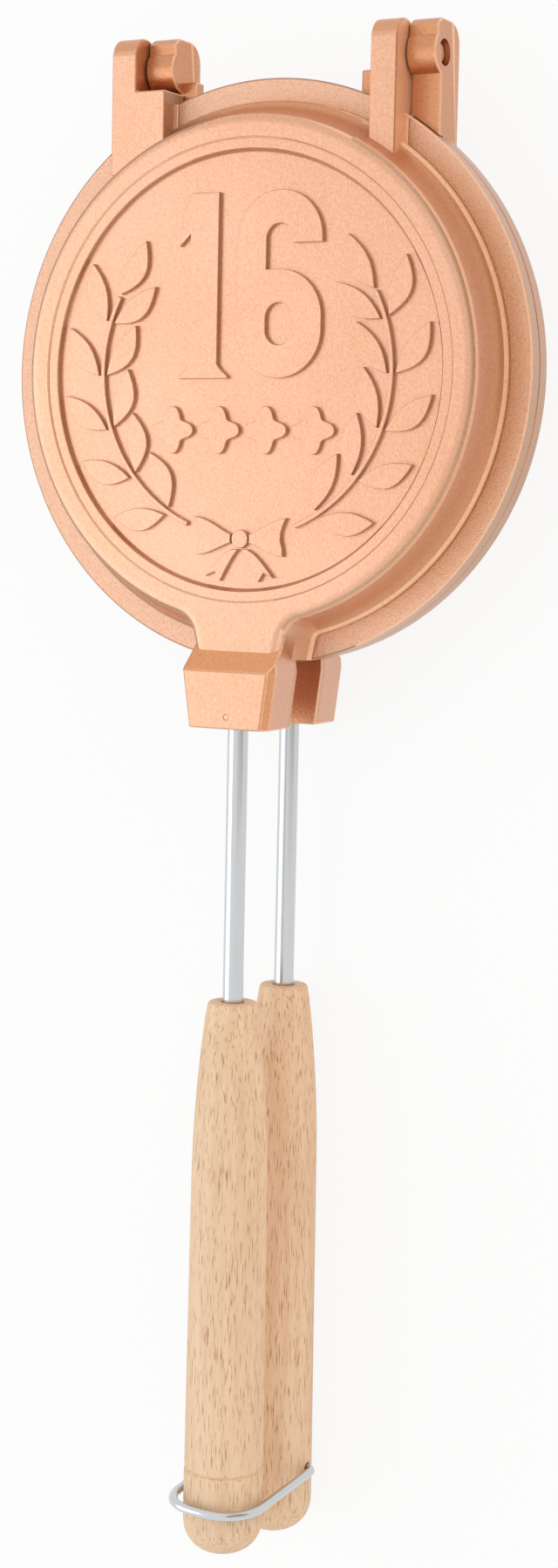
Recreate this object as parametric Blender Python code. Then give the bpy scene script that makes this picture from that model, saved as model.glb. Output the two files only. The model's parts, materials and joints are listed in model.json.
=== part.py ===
# Stovetop sandwich maker: two round cast moulds, hinged together at the top and
# carried on two long handles, with a wire ring that holds the handles shut.
# It lies flat with its ornamented face up: +Y runs from the handles to the hinge,
# and +X runs along the hinge. Lengths are in metres.

import math

import bmesh
import bpy
from mathutils import Matrix, Vector

MM = 0.001

# Gaps between pieces
GAP = 0.3 * MM
PIN_GAP = 0.15 * MM

# Castings, each half measured up from the parting plane; the circles follow from the flange
FACE_HEIGHT = 15.9 * MM
FLANGE_RADIUS = 72.5 * MM
FLANGE_THICKNESS = 4.7 * MM
LIP_WIDTH = 1.1 * MM
LIP_HEIGHT = 0.4 * MM
PANEL_WIDTH = 5.7 * MM
SHOULDER_HEIGHT = 6.1 * MM
SHOULDER_ROUNDING = 0.8 * MM
SHOULDER_ARC = 60.0
WALL_SLOPE = 4.4 * MM
FACE_ROUNDING = 0.9 * MM
RIM_WIDTH = 5.6 * MM
STEP_WIDTH = 2.7 * MM
STEP_DEPTH = 0.4 * MM
DISC_DEPTH = 1.8 * MM
WALL_DRAFT = 0.5 * MM
CAVITY_WALL = 11.5 * MM
CAVITY_SLOPE = 3.5 * MM
CAVITY_ROUNDING = 2.5 * MM
FLOOR_THICKNESS = 3.0 * MM
PLATE_MARGIN = 8.5 * MM
PLATE_STEP = 0.8 * MM
BEAD_INSET = 6.0 * MM
BEAD_WIDTH = 2.0 * MM
BEAD_HEIGHT = 0.8 * MM

# Hinge
HINGE_REACH = 4.0 * MM
HINGE_ROOT_DEPTH = 26.5 * MM
EYE_RADIUS = 5.4 * MM
PIN_DIAMETER = 5.8 * MM
PIN_RECESS = 2.2 * MM
BLIND_WALL = 1.4 * MM
PIN_CHAMFER = 0.5 * MM
ARM_WIDTH = 7.0 * MM
ARM_HEIGHT = 9.9 * MM
ARM_OVERHANG = 7.8 * MM
ARM_ROUNDING = 5.2 * MM
RIGHT_ARM_X = 30.3 * MM
LEFT_ARM_X = -42.2 * MM
LUG_WIDTH = 7.8 * MM
LUG_DEPTH = 8.9 * MM
LUG_OVERHANG = 7.9 * MM
LUG_ROUNDING = 5.2 * MM
LUG_SHOULDER = 4.6 * MM
LUG_FRONT = 1.7 * MM
LUG_FOOT_DEPTH = 12.9 * MM
LUG_CHAMFER = 0.7 * MM
BLOCK_CLEARANCE = 0.5 * MM
STOP_INNER_X = 23.2 * MM
STOP_WIDTH = 4.4 * MM
STOP_REACH = 1.3 * MM
STOP_LENGTH = 11.8 * MM
CAST_ROUNDING = 0.6 * MM

# Necks and socket blocks
NECK_LENGTH = 6.1 * MM
NECK_TOP_HALF_WIDTH = 13.6 * MM
NECK_FOOT_HALF_WIDTH = 16.9 * MM
BLOCK_OVERLAP = 3.0 * MM
SLOPE_LENGTH = 5.4 * MM
BLOCK_LENGTH = 14.4 * MM
BLOCK_RISE = 4.6 * MM
BLOCK_BACK = 6.9 * MM
BLOCK_START_HALF_WIDTH = 12.9 * MM
BLOCK_END_HALF_WIDTH = 11.9 * MM
BLOCK_BEVEL_WIDTH = 2.2 * MM
BLOCK_BEVEL_DEPTH = 2.4 * MM

# Rods, grips and their pins; the lower grip is longer because it carries the ring
ROD_DIAMETER = 5.2 * MM
ROD_HEIGHT = 14.0 * MM
ROD_SHOWN = 70.0 * MM
ROD_IN_BLOCK = 15.0 * MM
ROD_IN_GRIP = 32.0 * MM
SOCKET_PIN_DIAMETER = 1.5 * MM
SOCKET_PIN_INSET = 3.1 * MM
UPPER_GRIP_LENGTH = 145.6 * MM
LOWER_GRIP_LENGTH = UPPER_GRIP_LENGTH + 4.2 * MM
GRIP_START_RADIUS = 6.4 * MM
GRIP_WAIST_RADIUS = 9.6 * MM
GRIP_RADIUS = 10.4 * MM
GRIP_SWELL = 46.0 * MM
GRIP_END_ROUNDING = 9.5 * MM
GRIP_END_SQUARENESS = 2.3
GRIP_EDGE = 0.8 * MM
GROOVE_FROM_END = 22.7 * MM
GROOVE_WIDTH = 1.4 * MM
GROOVE_DEPTH = 0.7 * MM

# Wire ring, hung in a cross hole of the lower grip
WIRE_DIAMETER = 2.4 * MM
RING_FROM_END = 18.6 * MM
RING_HALF_WIDTH = 12.2 * MM
RING_CORNER = 2.6 * MM
RING_CROWN = 12.4 * MM
RING_SQUARENESS = 0.8
RING_END_GAP = 1.0 * MM

# Circles and places that follow from the flange
SHOULDER_RADIUS = FLANGE_RADIUS - PANEL_WIDTH
FACE_RADIUS = SHOULDER_RADIUS - WALL_SLOPE
STEP_RADIUS = FACE_RADIUS - RIM_WIDTH
DISC_RADIUS = STEP_RADIUS - STEP_WIDTH
CAVITY_RADIUS = FLANGE_RADIUS - CAVITY_WALL
CAVITY_FLOOR_RADIUS = CAVITY_RADIUS - CAVITY_SLOPE
PLATE_RADIUS = CAVITY_FLOOR_RADIUS - PLATE_MARGIN
BEAD_RADIUS = FLANGE_RADIUS - BEAD_INSET
HINGE_Y = FLANGE_RADIUS + HINGE_REACH
HINGE_ROOT_Y = HINGE_Y - HINGE_ROOT_DEPTH
ARM_TOP = HINGE_Y + ARM_OVERHANG
LUG_TOP = HINGE_Y + LUG_OVERHANG
LUG_FOOT_Y = HINGE_Y - LUG_FOOT_DEPTH
STOP_TOP = FLANGE_RADIUS + STOP_REACH
STOP_FOOT_Y = STOP_TOP - STOP_LENGTH
NECK_START_Y = -(STEP_RADIUS + FACE_RADIUS) / 2
NECK_END_Y = -FACE_RADIUS - NECK_LENGTH
BLOCK_START_Y = NECK_END_Y - SLOPE_LENGTH
BLOCK_END_Y = BLOCK_START_Y - BLOCK_LENGTH
BLOCK_FACE = FACE_HEIGHT + BLOCK_RISE
GRIP_START_Y = BLOCK_END_Y - ROD_SHOWN
UPPER_GRIP_END_Y = GRIP_START_Y - UPPER_GRIP_LENGTH
LOWER_GRIP_END_Y = GRIP_START_Y - LOWER_GRIP_LENGTH
RING_Y = LOWER_GRIP_END_Y + RING_FROM_END

# Ornament on the upper face, sized by the disc
RELIEF_HEIGHT = 1.0 * MM
RELIEF_ROOT = 0.6 * MM
NUMERAL_HEIGHT = 0.84 * DISC_RADIUS
NUMERAL_BASE_Y = -0.028 * DISC_RADIUS
ONE_LEFT_X = -0.34 * DISC_RADIUS
ONE_WIDTH = 0.26 * DISC_RADIUS
SIX_LEFT_X = -0.037 * DISC_RADIUS
SIX_WIDTH = 0.432 * DISC_RADIUS
STROKE_WIDTH = 0.148 * DISC_RADIUS
SERIF_HEIGHT = 0.055 * DISC_RADIUS
MOTIF_COUNT = 4
MOTIF_SPACING = 0.244 * DISC_RADIUS
MOTIF_RADIUS = 0.109 * DISC_RADIUS
MOTIF_Y = -0.262 * DISC_RADIUS
WREATH_RADIUS = 0.749 * DISC_RADIUS
WREATH_START = 22.0
WREATH_END = 118.0
LEAF_PAIRS = 5
LEAF_LENGTH = 0.277 * DISC_RADIUS
LEAF_WIDTH = 0.107 * DISC_RADIUS
LEAF_SPREAD = 35.0
STEM_WIDTH = 0.02 * DISC_RADIUS
BOW_Y = -0.767 * DISC_RADIUS
BOW_LENGTH = 0.213 * DISC_RADIUS
BOW_WIDTH = 0.157 * DISC_RADIUS

DISC_SEGMENTS = 72
ROUND_SEGMENTS = 28

# Pieces that follow from the sizes above
HALF_GAP = GAP / 2
DISC_FLOOR = FACE_HEIGHT - DISC_DEPTH
CAVITY_FLOOR = DISC_FLOOR - FLOOR_THICKNESS
PANEL_HEIGHT = FLANGE_THICKNESS - LIP_HEIGHT
BORE_RADIUS = PIN_DIAMETER / 2 + GAP
RIGHT_LUG_X = RIGHT_ARM_X + ARM_WIDTH + GAP
LEFT_LUG_X = LEFT_ARM_X + ARM_WIDTH + GAP
LEFT_LUG_END = LEFT_LUG_X + LUG_WIDTH
SHELF_Y = HINGE_Y - EYE_RADIUS - BLOCK_CLEARANCE
SHELF_X = LEFT_LUG_END + GAP
LOWEST = -ROD_HEIGHT - GRIP_RADIUS
CENTRE_Y = (LUG_TOP + LOWER_GRIP_END_Y) / 2


def clear_scene():
    for item in list(bpy.data.objects):
        bpy.data.objects.remove(item, do_unlink=True)


def make_material(name, colour, roughness, metallic):
    material = bpy.data.materials.new(name)
    material.use_nodes = True
    shader = material.node_tree.nodes["Principled BSDF"]
    shader.inputs["Base Color"].default_value = (*colour, 1.0)
    shader.inputs["Roughness"].default_value = roughness
    shader.inputs["Metallic"].default_value = metallic
    material.diffuse_color = (*colour, 1.0)
    return material


def make_empty(name, location, parent=None):
    empty = bpy.data.objects.new(name, None)
    empty.location = location
    empty.parent = parent
    bpy.context.collection.objects.link(empty)
    return empty


def make_solid(name, bm, parent, material=None, angle=35.0):
    bmesh.ops.remove_doubles(bm, verts=bm.verts, dist=1e-6)
    bmesh.ops.recalc_face_normals(bm, faces=bm.faces)
    mesh = bpy.data.meshes.new(name)
    bm.to_mesh(mesh)
    bm.free()
    mesh.shade_smooth()
    mesh.set_sharp_from_angle(angle=math.radians(angle))
    solid = bpy.data.objects.new(name, mesh)
    solid.parent = parent
    solid.location = -parent.location if parent.parent else Vector()
    bpy.context.collection.objects.link(solid)
    if material:
        mesh.materials.append(material)
    return solid


def make_guide(name, bm, parent):
    guide = make_solid(name, bm, parent)
    guide.hide_render = True
    guide.display_type = "WIRE"
    return guide


def combine(solid, guide, operation, overlapping=False):
    step = solid.modifiers.new(guide.name, "BOOLEAN")
    step.operation = operation
    step.object = guide
    step.solver = "EXACT"
    step.use_self = overlapping


def arc(across, up, radius, start, end, steps):
    points = []
    for i in range(steps + 1):
        angle = math.radians(start + (end - start) * i / steps)
        points.append((across + radius * math.cos(angle), up + radius * math.sin(angle)))
    return points


def curve_between(start, control, end, steps):
    points = []
    for i in range(1, steps + 1):
        t = i / steps
        points.append(tuple((1 - t) ** 2 * a + 2 * t * (1 - t) * b + t ** 2 * c
                            for a, b, c in zip(start, control, end)))
    return points


def turned(profile, side=1, axis="Z", segments=DISC_SEGMENTS):
    """Spin a closed outline of (radius, place along the axis) once round."""
    bm = bmesh.new()
    if axis == "Z":
        verts = [bm.verts.new((r, 0, side * z)) for r, z in profile]
        direction = (0, 0, 1)
    else:
        verts = [bm.verts.new((r, y, 0)) for r, y in profile]
        direction = (0, 1, 0)
    edges = [bm.edges.new(pair) for pair in zip(verts, verts[1:] + verts[:1])
             if max(pair[0].co.x, pair[1].co.x) > 1e-7]
    bmesh.ops.spin(bm, geom=edges, cent=(0, 0, 0), axis=direction, angle=2 * math.pi,
                   steps=segments, use_merge=True, use_duplicate=False)
    return bm


def extruded(outline, start, end, axis="X", side=1):
    """Extrude an outline along an axis: (y, z) along X, or (x, z) along Y."""
    bm = bmesh.new()
    if axis == "X":
        verts = [bm.verts.new((start, y, side * z)) for y, z in outline]
        shift = (end - start, 0, 0)
    else:
        verts = [bm.verts.new((x, start, side * z)) for x, z in outline]
        shift = (0, end - start, 0)
    face = bm.faces.new(verts)
    grown = bmesh.ops.extrude_face_region(bm, geom=[face])
    far = [item for item in grown["geom"] if isinstance(item, bmesh.types.BMVert)]
    bmesh.ops.translate(bm, verts=far, vec=shift)
    return bm


def round_bar(radius, start, end, place, axis="X", segments=ROUND_SEGMENTS, chamfer=0.0):
    """A round bar along X, Y or Z, with place giving its other two coordinates."""
    low, high = sorted((start, end))
    profile = [(0, low), (radius, low), (radius, high), (0, high)]
    if chamfer:
        profile = [(0, low), (radius - chamfer, low), (radius, low + chamfer),
                   (radius, high - chamfer), (radius - chamfer, high), (0, high)]
    bm = turned(profile, segments=segments)
    if axis == "X":
        turn = Matrix.Rotation(math.pi / 2, 4, "Y")
        shift = Vector((0, place[0], place[1]))
    elif axis == "Y":
        turn = Matrix.Rotation(-math.pi / 2, 4, "X")
        shift = Vector((place[0], 0, place[1]))
    else:
        turn = Matrix.Identity(4)
        shift = Vector((place[0], place[1], 0))
    bmesh.ops.transform(bm, matrix=Matrix.Translation(shift) @ turn, verts=bm.verts)
    return bm


def add_rounding(guide, width=CAST_ROUNDING):
    step = guide.modifiers.new("rounded edges", "BEVEL")
    step.width = width
    step.segments = 2
    step.limit_method = "ANGLE"
    step.angle_limit = math.radians(50)


# Castings

def casting_profile():
    """Half outline of a casting without its cavity, from the face's centre outwards."""
    points = [(0, DISC_FLOOR),
              (DISC_RADIUS - WALL_DRAFT, DISC_FLOOR),
              (DISC_RADIUS, FACE_HEIGHT - STEP_DEPTH),
              (STEP_RADIUS - STEP_DEPTH / 2, FACE_HEIGHT - STEP_DEPTH),
              (STEP_RADIUS, FACE_HEIGHT)]
    points += arc(FACE_RADIUS - FACE_ROUNDING, FACE_HEIGHT - FACE_ROUNDING, FACE_ROUNDING, 90, 12, 3)
    top_of_wall = points[-1]
    foot_of_wall = (SHOULDER_RADIUS - SHOULDER_ROUNDING, SHOULDER_HEIGHT)
    hollow = (FACE_RADIUS + 0.35 * (SHOULDER_RADIUS - FACE_RADIUS),
              SHOULDER_HEIGHT + 0.3 * (FACE_HEIGHT - SHOULDER_HEIGHT))
    points += curve_between(top_of_wall, hollow, foot_of_wall, 4)
    points += arc(SHOULDER_RADIUS - SHOULDER_ROUNDING, SHOULDER_HEIGHT - SHOULDER_ROUNDING,
                  SHOULDER_ROUNDING, SHOULDER_ARC, 0, 2)
    points += [(SHOULDER_RADIUS, PANEL_HEIGHT),
               (FLANGE_RADIUS - LIP_WIDTH - LIP_HEIGHT / 2, PANEL_HEIGHT),
               (FLANGE_RADIUS - LIP_WIDTH, FLANGE_THICKNESS),
               (FLANGE_RADIUS - LIP_HEIGHT, FLANGE_THICKNESS),
               (FLANGE_RADIUS, FLANGE_THICKNESS - LIP_HEIGHT),
               (FLANGE_RADIUS, HALF_GAP),
               (0, HALF_GAP)]
    return points


def cavity_profile():
    """Half outline of the hollow that holds the food, open at the parting plane."""
    floor_edge = arc(CAVITY_FLOOR_RADIUS - CAVITY_ROUNDING, CAVITY_FLOOR - CAVITY_ROUNDING,
                     CAVITY_ROUNDING, 10, 90, 4)
    return ([(0, -FLANGE_THICKNESS), (CAVITY_RADIUS, -FLANGE_THICKNESS), (CAVITY_RADIUS, HALF_GAP)]
            + floor_edge
            + [(PLATE_RADIUS + PLATE_STEP, CAVITY_FLOOR),
               (PLATE_RADIUS, CAVITY_FLOOR - PLATE_STEP),
               (0, CAVITY_FLOOR - PLATE_STEP)])


def bead_profile(clearance):
    """The locating bead of the upper flange, or with a clearance the groove for it."""
    half = BEAD_WIDTH / 2 + clearance
    depth = BEAD_HEIGHT + clearance
    return [(BEAD_RADIUS - half, FLANGE_THICKNESS / 4),
            (BEAD_RADIUS - half, -HALF_GAP),
            (BEAD_RADIUS - half * 0.7, -depth),
            (BEAD_RADIUS + half * 0.7, -depth),
            (BEAD_RADIUS + half, -HALF_GAP),
            (BEAD_RADIUS + half, FLANGE_THICKNESS / 4)]


def arm_outline():
    """Side outline of an upper hinge arm, as (y, z): a plate with its eye behind it."""
    top_y = ARM_TOP - ARM_ROUNDING
    top_z = ARM_HEIGHT - ARM_ROUNDING
    lean = math.degrees(math.atan2(HINGE_Y - top_y, top_z))
    eye_start = math.degrees(math.asin(HALF_GAP / EYE_RADIUS))
    return ([(HINGE_ROOT_Y, HALF_GAP), (HINGE_ROOT_Y, ARM_HEIGHT)]
            + arc(top_y, top_z, ARM_ROUNDING, 90, lean, 8)
            + arc(HINGE_Y, 0, EYE_RADIUS, lean, -180 - eye_start, 12))


def lug_outline(front):
    """Side outline of a lower hinge lug, as (y, z): the eye stands up from a plate."""
    shoulder_y = HINGE_Y + math.sqrt(EYE_RADIUS ** 2 - LUG_SHOULDER ** 2)
    shoulder_angle = math.degrees(math.atan2(LUG_SHOULDER, shoulder_y - HINGE_Y))
    eye_start = 180 - math.degrees(math.asin(front / EYE_RADIUS))
    foot = [(HINGE_ROOT_Y, -HALF_GAP)]
    if front > 0:
        foot += [(LUG_FOOT_Y, -HALF_GAP), (LUG_FOOT_Y, front)]
    return (foot
            + arc(HINGE_Y, 0, EYE_RADIUS, eye_start, shoulder_angle, 12)
            + [(LUG_TOP - LUG_CHAMFER, LUG_SHOULDER), (LUG_TOP, LUG_SHOULDER - LUG_CHAMFER)]
            + arc(LUG_TOP - LUG_ROUNDING, LUG_ROUNDING - LUG_DEPTH, LUG_ROUNDING, 0, -90, 5)
            + [(HINGE_ROOT_Y, -LUG_DEPTH)])


def block_sections():
    """Sections of the socket block: a place along Y, half width, face half width, face, bevel."""
    rise = (BLOCK_FACE - FACE_HEIGHT) / (NECK_END_Y - BLOCK_START_Y)
    inside = FACE_HEIGHT - rise * BLOCK_OVERLAP
    return [(NECK_END_Y + BLOCK_OVERLAP, NECK_TOP_HALF_WIDTH - LIP_HEIGHT,
             NECK_TOP_HALF_WIDTH - 2 * LIP_HEIGHT, inside, LIP_HEIGHT),
            (BLOCK_START_Y, BLOCK_START_HALF_WIDTH, BLOCK_START_HALF_WIDTH - BLOCK_BEVEL_WIDTH,
             BLOCK_FACE, BLOCK_BEVEL_DEPTH),
            (BLOCK_END_Y, BLOCK_END_HALF_WIDTH, BLOCK_END_HALF_WIDTH - BLOCK_BEVEL_WIDTH,
             BLOCK_FACE, BLOCK_BEVEL_DEPTH)]


def lofted_block(side):
    bm = bmesh.new()
    rows = []
    for y, half_width, face_half_width, face, bevel in block_sections():
        outline = [(-half_width, BLOCK_BACK), (-half_width, face - bevel), (-face_half_width, face),
                   (face_half_width, face), (half_width, face - bevel), (half_width, BLOCK_BACK)]
        rows.append([bm.verts.new((x, y, side * z)) for x, z in outline])
    bm.faces.new(rows[0])
    bm.faces.new(rows[-1])
    for near, far in zip(rows, rows[1:]):
        for i, vert in enumerate(near):
            j = (i + 1) % len(near)
            bm.faces.new((vert, near[j], far[j], far[i]))
    return bm


def neck_prism(side):
    """The sloping sides of the neck, from the face down to the flange."""
    outline = [(-NECK_FOOT_HALF_WIDTH, PANEL_HEIGHT / 2),
               (-NECK_FOOT_HALF_WIDTH, SHOULDER_HEIGHT - SHOULDER_ROUNDING / 2),
               (-NECK_FOOT_HALF_WIDTH + SHOULDER_ROUNDING, SHOULDER_HEIGHT),
               (-NECK_TOP_HALF_WIDTH - LIP_HEIGHT, FACE_HEIGHT - FACE_ROUNDING),
               (-NECK_TOP_HALF_WIDTH + LIP_HEIGHT, FACE_HEIGHT)]
    outline += [(-x, z) for x, z in reversed(outline)]
    reach = math.sqrt(FLANGE_RADIUS ** 2 - NECK_FOOT_HALF_WIDTH ** 2)
    return extruded(outline, NECK_START_Y + DISC_DEPTH, -reach, "Y", side)


def add_socket(mould, parent, name, side):
    combine(mould, make_guide(name + "_neck", neck_prism(side), parent), "UNION")
    combine(mould, make_guide(name + "_block", lofted_block(side), parent), "UNION")
    rod_hole = round_bar(ROD_DIAMETER / 2 + GAP, BLOCK_END_Y + ROD_IN_BLOCK + GAP, BLOCK_END_Y - ROD_DIAMETER,
                         (0, side * ROD_HEIGHT), "Y")
    combine(mould, make_guide(name + "_rod_hole", rod_hole, parent), "DIFFERENCE")
    pin_hole = round_bar(SOCKET_PIN_DIAMETER / 2 + PIN_GAP, side * (ROD_HEIGHT - ROD_DIAMETER),
                         side * (BLOCK_FACE + ROD_DIAMETER), (0, BLOCK_END_Y + SOCKET_PIN_INSET), "Z", 12)
    combine(mould, make_guide(name + "_pin_hole", pin_hole, parent), "DIFFERENCE")


def build_upper_mould(parent, material):
    mould = make_solid("upper_mould", turned(casting_profile()), parent, material)
    right_arm = make_guide("right_arm", extruded(arm_outline(), RIGHT_ARM_X, RIGHT_ARM_X + ARM_WIDTH), parent)
    add_rounding(right_arm)
    combine(mould, right_arm, "UNION")
    left_arm = make_guide("left_arm", extruded(arm_outline(), LEFT_ARM_X, SHELF_X), parent)
    notch_outline = [(SHELF_Y, -FACE_HEIGHT), (SHELF_Y, FACE_HEIGHT),
                     (ARM_TOP + ARM_WIDTH, FACE_HEIGHT), (ARM_TOP + ARM_WIDTH, -FACE_HEIGHT)]
    notch = extruded(notch_outline, LEFT_ARM_X + ARM_WIDTH, SHELF_X + ARM_WIDTH)
    combine(left_arm, make_guide("lug_notch", notch, parent), "DIFFERENCE")
    add_rounding(left_arm)
    combine(mould, left_arm, "UNION")
    add_socket(mould, parent, "upper", 1)
    combine(mould, make_guide("upper_cavity", turned(cavity_profile()), parent), "DIFFERENCE")
    combine(mould, make_guide("bead", turned(bead_profile(0)), parent), "UNION")
    for name, x in (("left", LEFT_ARM_X), ("right", RIGHT_ARM_X)):
        bore = round_bar(BORE_RADIUS, x + BLIND_WALL, x + ARM_WIDTH + CAST_ROUNDING, (HINGE_Y, 0))
        combine(mould, make_guide(name + "_arm_bore", bore, parent), "DIFFERENCE")
    combine(mould, make_guide("relief", relief_solid(), parent), "UNION")
    return mould


def build_lower_mould(parent, material):
    mould = make_solid("lower_mould", turned(casting_profile(), -1), parent, material)
    for name, x, front in (("left", LEFT_LUG_X, -HALF_GAP), ("right", RIGHT_LUG_X, LUG_FRONT)):
        lug = make_guide(name + "_lug", extruded(lug_outline(front), x, x + LUG_WIDTH), parent)
        add_rounding(lug)
        combine(mould, lug, "UNION")
    stop_outline = [(STOP_FOOT_Y, GAP - PANEL_HEIGHT), (STOP_FOOT_Y, -GAP),
                    (STOP_TOP, -GAP), (STOP_TOP, GAP - PANEL_HEIGHT)]
    for name, x in (("left", -STOP_INNER_X - STOP_WIDTH), ("right", STOP_INNER_X)):
        stop = extruded(stop_outline, x, x + STOP_WIDTH)
        combine(mould, make_guide(name + "_stop", stop, parent), "UNION")
    add_socket(mould, parent, "lower", -1)
    combine(mould, make_guide("lower_cavity", turned(cavity_profile(), -1), parent), "DIFFERENCE")
    groove = [(r, -z) for r, z in bead_profile(GAP)]
    combine(mould, make_guide("bead_groove", turned(groove, -1), parent), "DIFFERENCE")
    left_bore = round_bar(BORE_RADIUS, LEFT_LUG_X - CAST_ROUNDING, LEFT_LUG_END - BLIND_WALL, (HINGE_Y, 0))
    combine(mould, make_guide("left_lug_bore", left_bore, parent), "DIFFERENCE")
    right_bore = round_bar(BORE_RADIUS, RIGHT_LUG_X - CAST_ROUNDING,
                           RIGHT_LUG_X + LUG_WIDTH + CAST_ROUNDING, (HINGE_Y, 0))
    combine(mould, make_guide("right_lug_bore", right_bore, parent), "DIFFERENCE")
    return mould


# Ornament

def numeral_one():
    top = NUMERAL_BASE_Y + NUMERAL_HEIGHT
    left = ONE_LEFT_X
    right = ONE_LEFT_X + ONE_WIDTH
    stem_left = left + (ONE_WIDTH - STROKE_WIDTH) / 2
    stem_right = stem_left + STROKE_WIDTH
    shelf = NUMERAL_BASE_Y + SERIF_HEIGHT
    return [[(left, NUMERAL_BASE_Y), (right, NUMERAL_BASE_Y), (right, shelf), (stem_right, shelf),
             (stem_right, top), (stem_left + SERIF_HEIGHT / 2, top), (left, top - 3.6 * SERIF_HEIGHT),
             (left, top - 4.8 * SERIF_HEIGHT), (stem_left, top - 3.2 * SERIF_HEIGHT), (stem_left, shelf)]]


def numeral_six():
    """A bowl that closes the lower half, and a hook above it that opens to the right."""
    left = SIX_LEFT_X
    radius = SIX_WIDTH / 2
    centre = left + radius
    inner = radius - STROKE_WIDTH
    top = NUMERAL_BASE_Y + NUMERAL_HEIGHT - radius
    base = NUMERAL_BASE_Y + radius
    waist = NUMERAL_BASE_Y + 0.58 * NUMERAL_HEIGHT
    hook = top - 0.1 * radius
    outer = (arc(centre, top, radius, 0, 180, 12)
             + arc(centre, base, radius, 180, 360, 12)
             + arc(centre, waist - radius, radius, 0, 90, 5)
             + [(centre - inner, waist)]
             + arc(centre, top, inner, 180, 0, 6)
             + [(centre + inner, hook), (centre + radius, hook)])
    bowl_top = waist - STROKE_WIDTH - inner
    hole = arc(centre, bowl_top, inner, 0, 180, 6) + arc(centre, base, inner, 180, 360, 6)
    return [outer, hole]


def motif(x):
    """A plain four-lobed shape."""
    steps = 20
    outline = []
    for i in range(steps):
        angle = 2 * math.pi * i / steps
        reach = MOTIF_RADIUS * (0.8 + 0.2 * math.cos(4 * angle))
        outline.append((x + reach * math.sin(angle), MOTIF_Y + reach * math.cos(angle)))
    return [outline]


def leaf(x, y, heading, length=LEAF_LENGTH, width=LEAF_WIDTH):
    """A pointed leaf that starts at (x, y) and points along heading."""
    steps = 4
    sides = []
    for i in range(steps + 1):
        t = i / steps
        sides.append((t * length, width / 2 * math.sin(math.pi * t)))
    outline = sides + [(a, -b) for a, b in reversed(sides[1:-1])]
    cosine = math.cos(heading)
    sine = math.sin(heading)
    return [[(x + a * cosine - b * sine, y + a * sine + b * cosine) for a, b in outline]]


def branch(side):
    """The left (-1) or right (1) branch: a stem with a pair of leaves at each step."""
    inner = []
    outer = []
    steps = 12
    for i in range(steps + 1):
        angle = math.radians(WREATH_START + (WREATH_END - WREATH_START) * i / steps)
        for line, reach in ((inner, WREATH_RADIUS - STEM_WIDTH / 2), (outer, WREATH_RADIUS + STEM_WIDTH / 2)):
            line.append((side * reach * math.sin(angle), -reach * math.cos(angle)))
    shapes = [[inner + outer[::-1]]]
    for i in range(LEAF_PAIRS):
        angle = math.radians(WREATH_START + (WREATH_END - WREATH_START) * (i + 0.5) / LEAF_PAIRS)
        for spread in (-1, 1):
            reach = WREATH_RADIUS - spread * (STEM_WIDTH / 2 + 2 * GAP)
            along = angle + math.radians(LEAF_SPREAD) * spread
            heading = along if side > 0 else math.pi - along
            shapes.append(leaf(side * reach * math.sin(angle), -reach * math.cos(angle), heading))
    return shapes


def bow():
    """Two loops, two tails and a knot where the branches meet."""
    shapes = []
    knot = BOW_WIDTH / 4
    for side in (-1, 1):
        loop = [(side * (knot + GAP), BOW_Y - knot / 2), (side * (knot + GAP), BOW_Y + knot / 2),
                (side * BOW_LENGTH, BOW_Y + BOW_WIDTH / 2), (side * BOW_LENGTH * 0.9, BOW_Y),
                (side * BOW_LENGTH, BOW_Y - BOW_WIDTH / 2)]
        tail = [(side * GAP, BOW_Y - knot - GAP), (side * knot, BOW_Y - knot - GAP),
                (side * BOW_LENGTH * 0.75, BOW_Y - BOW_WIDTH), (side * BOW_LENGTH * 0.5, BOW_Y - BOW_WIDTH * 1.1)]
        shapes += [[loop], [tail]]
    shapes.append([[(-knot, BOW_Y - knot), (knot, BOW_Y - knot), (knot, BOW_Y + knot), (-knot, BOW_Y + knot)]])
    return shapes


def relief_solid():
    """Every raised shape of the face, as upright plates rooted in the disc."""
    shapes = [numeral_one(), numeral_six()]
    for i in range(MOTIF_COUNT):
        shapes.append(motif((i - (MOTIF_COUNT - 1) / 2) * MOTIF_SPACING))
    shapes += branch(-1) + branch(1) + bow()
    bm = bmesh.new()
    for loops in shapes:
        edges = []
        for loop in loops:
            verts = [bm.verts.new((x, y, DISC_FLOOR - RELIEF_ROOT)) for x, y in loop]
            edges += [bm.edges.new(pair) for pair in zip(verts, verts[1:] + verts[:1])]
        filled = bmesh.ops.triangle_fill(bm, use_beauty=True, use_dissolve=False, edges=edges)
        faces = [item for item in filled["geom"] if isinstance(item, bmesh.types.BMFace)]
        grown = bmesh.ops.extrude_face_region(bm, geom=faces)
        top = [item for item in grown["geom"] if isinstance(item, bmesh.types.BMVert)]
        bmesh.ops.translate(bm, verts=top, vec=(0, 0, RELIEF_ROOT + RELIEF_HEIGHT))
    return bm


# Handles

def build_rod(name, side, parent, material):
    start = BLOCK_END_Y + ROD_IN_BLOCK
    end = GRIP_START_Y - ROD_IN_GRIP
    rod = make_solid(name, round_bar(ROD_DIAMETER / 2, start, end, (0, side * ROD_HEIGHT), "Y",
                                     ROUND_SEGMENTS, PIN_CHAMFER), parent, material)
    hole = round_bar(SOCKET_PIN_DIAMETER / 2 + PIN_GAP, side * (ROD_HEIGHT - ROD_DIAMETER),
                     side * (ROD_HEIGHT + ROD_DIAMETER), (0, BLOCK_END_Y + SOCKET_PIN_INSET), "Z", 12)
    combine(rod, make_guide(name + "_pin_hole", hole, parent), "DIFFERENCE")
    return rod


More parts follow.
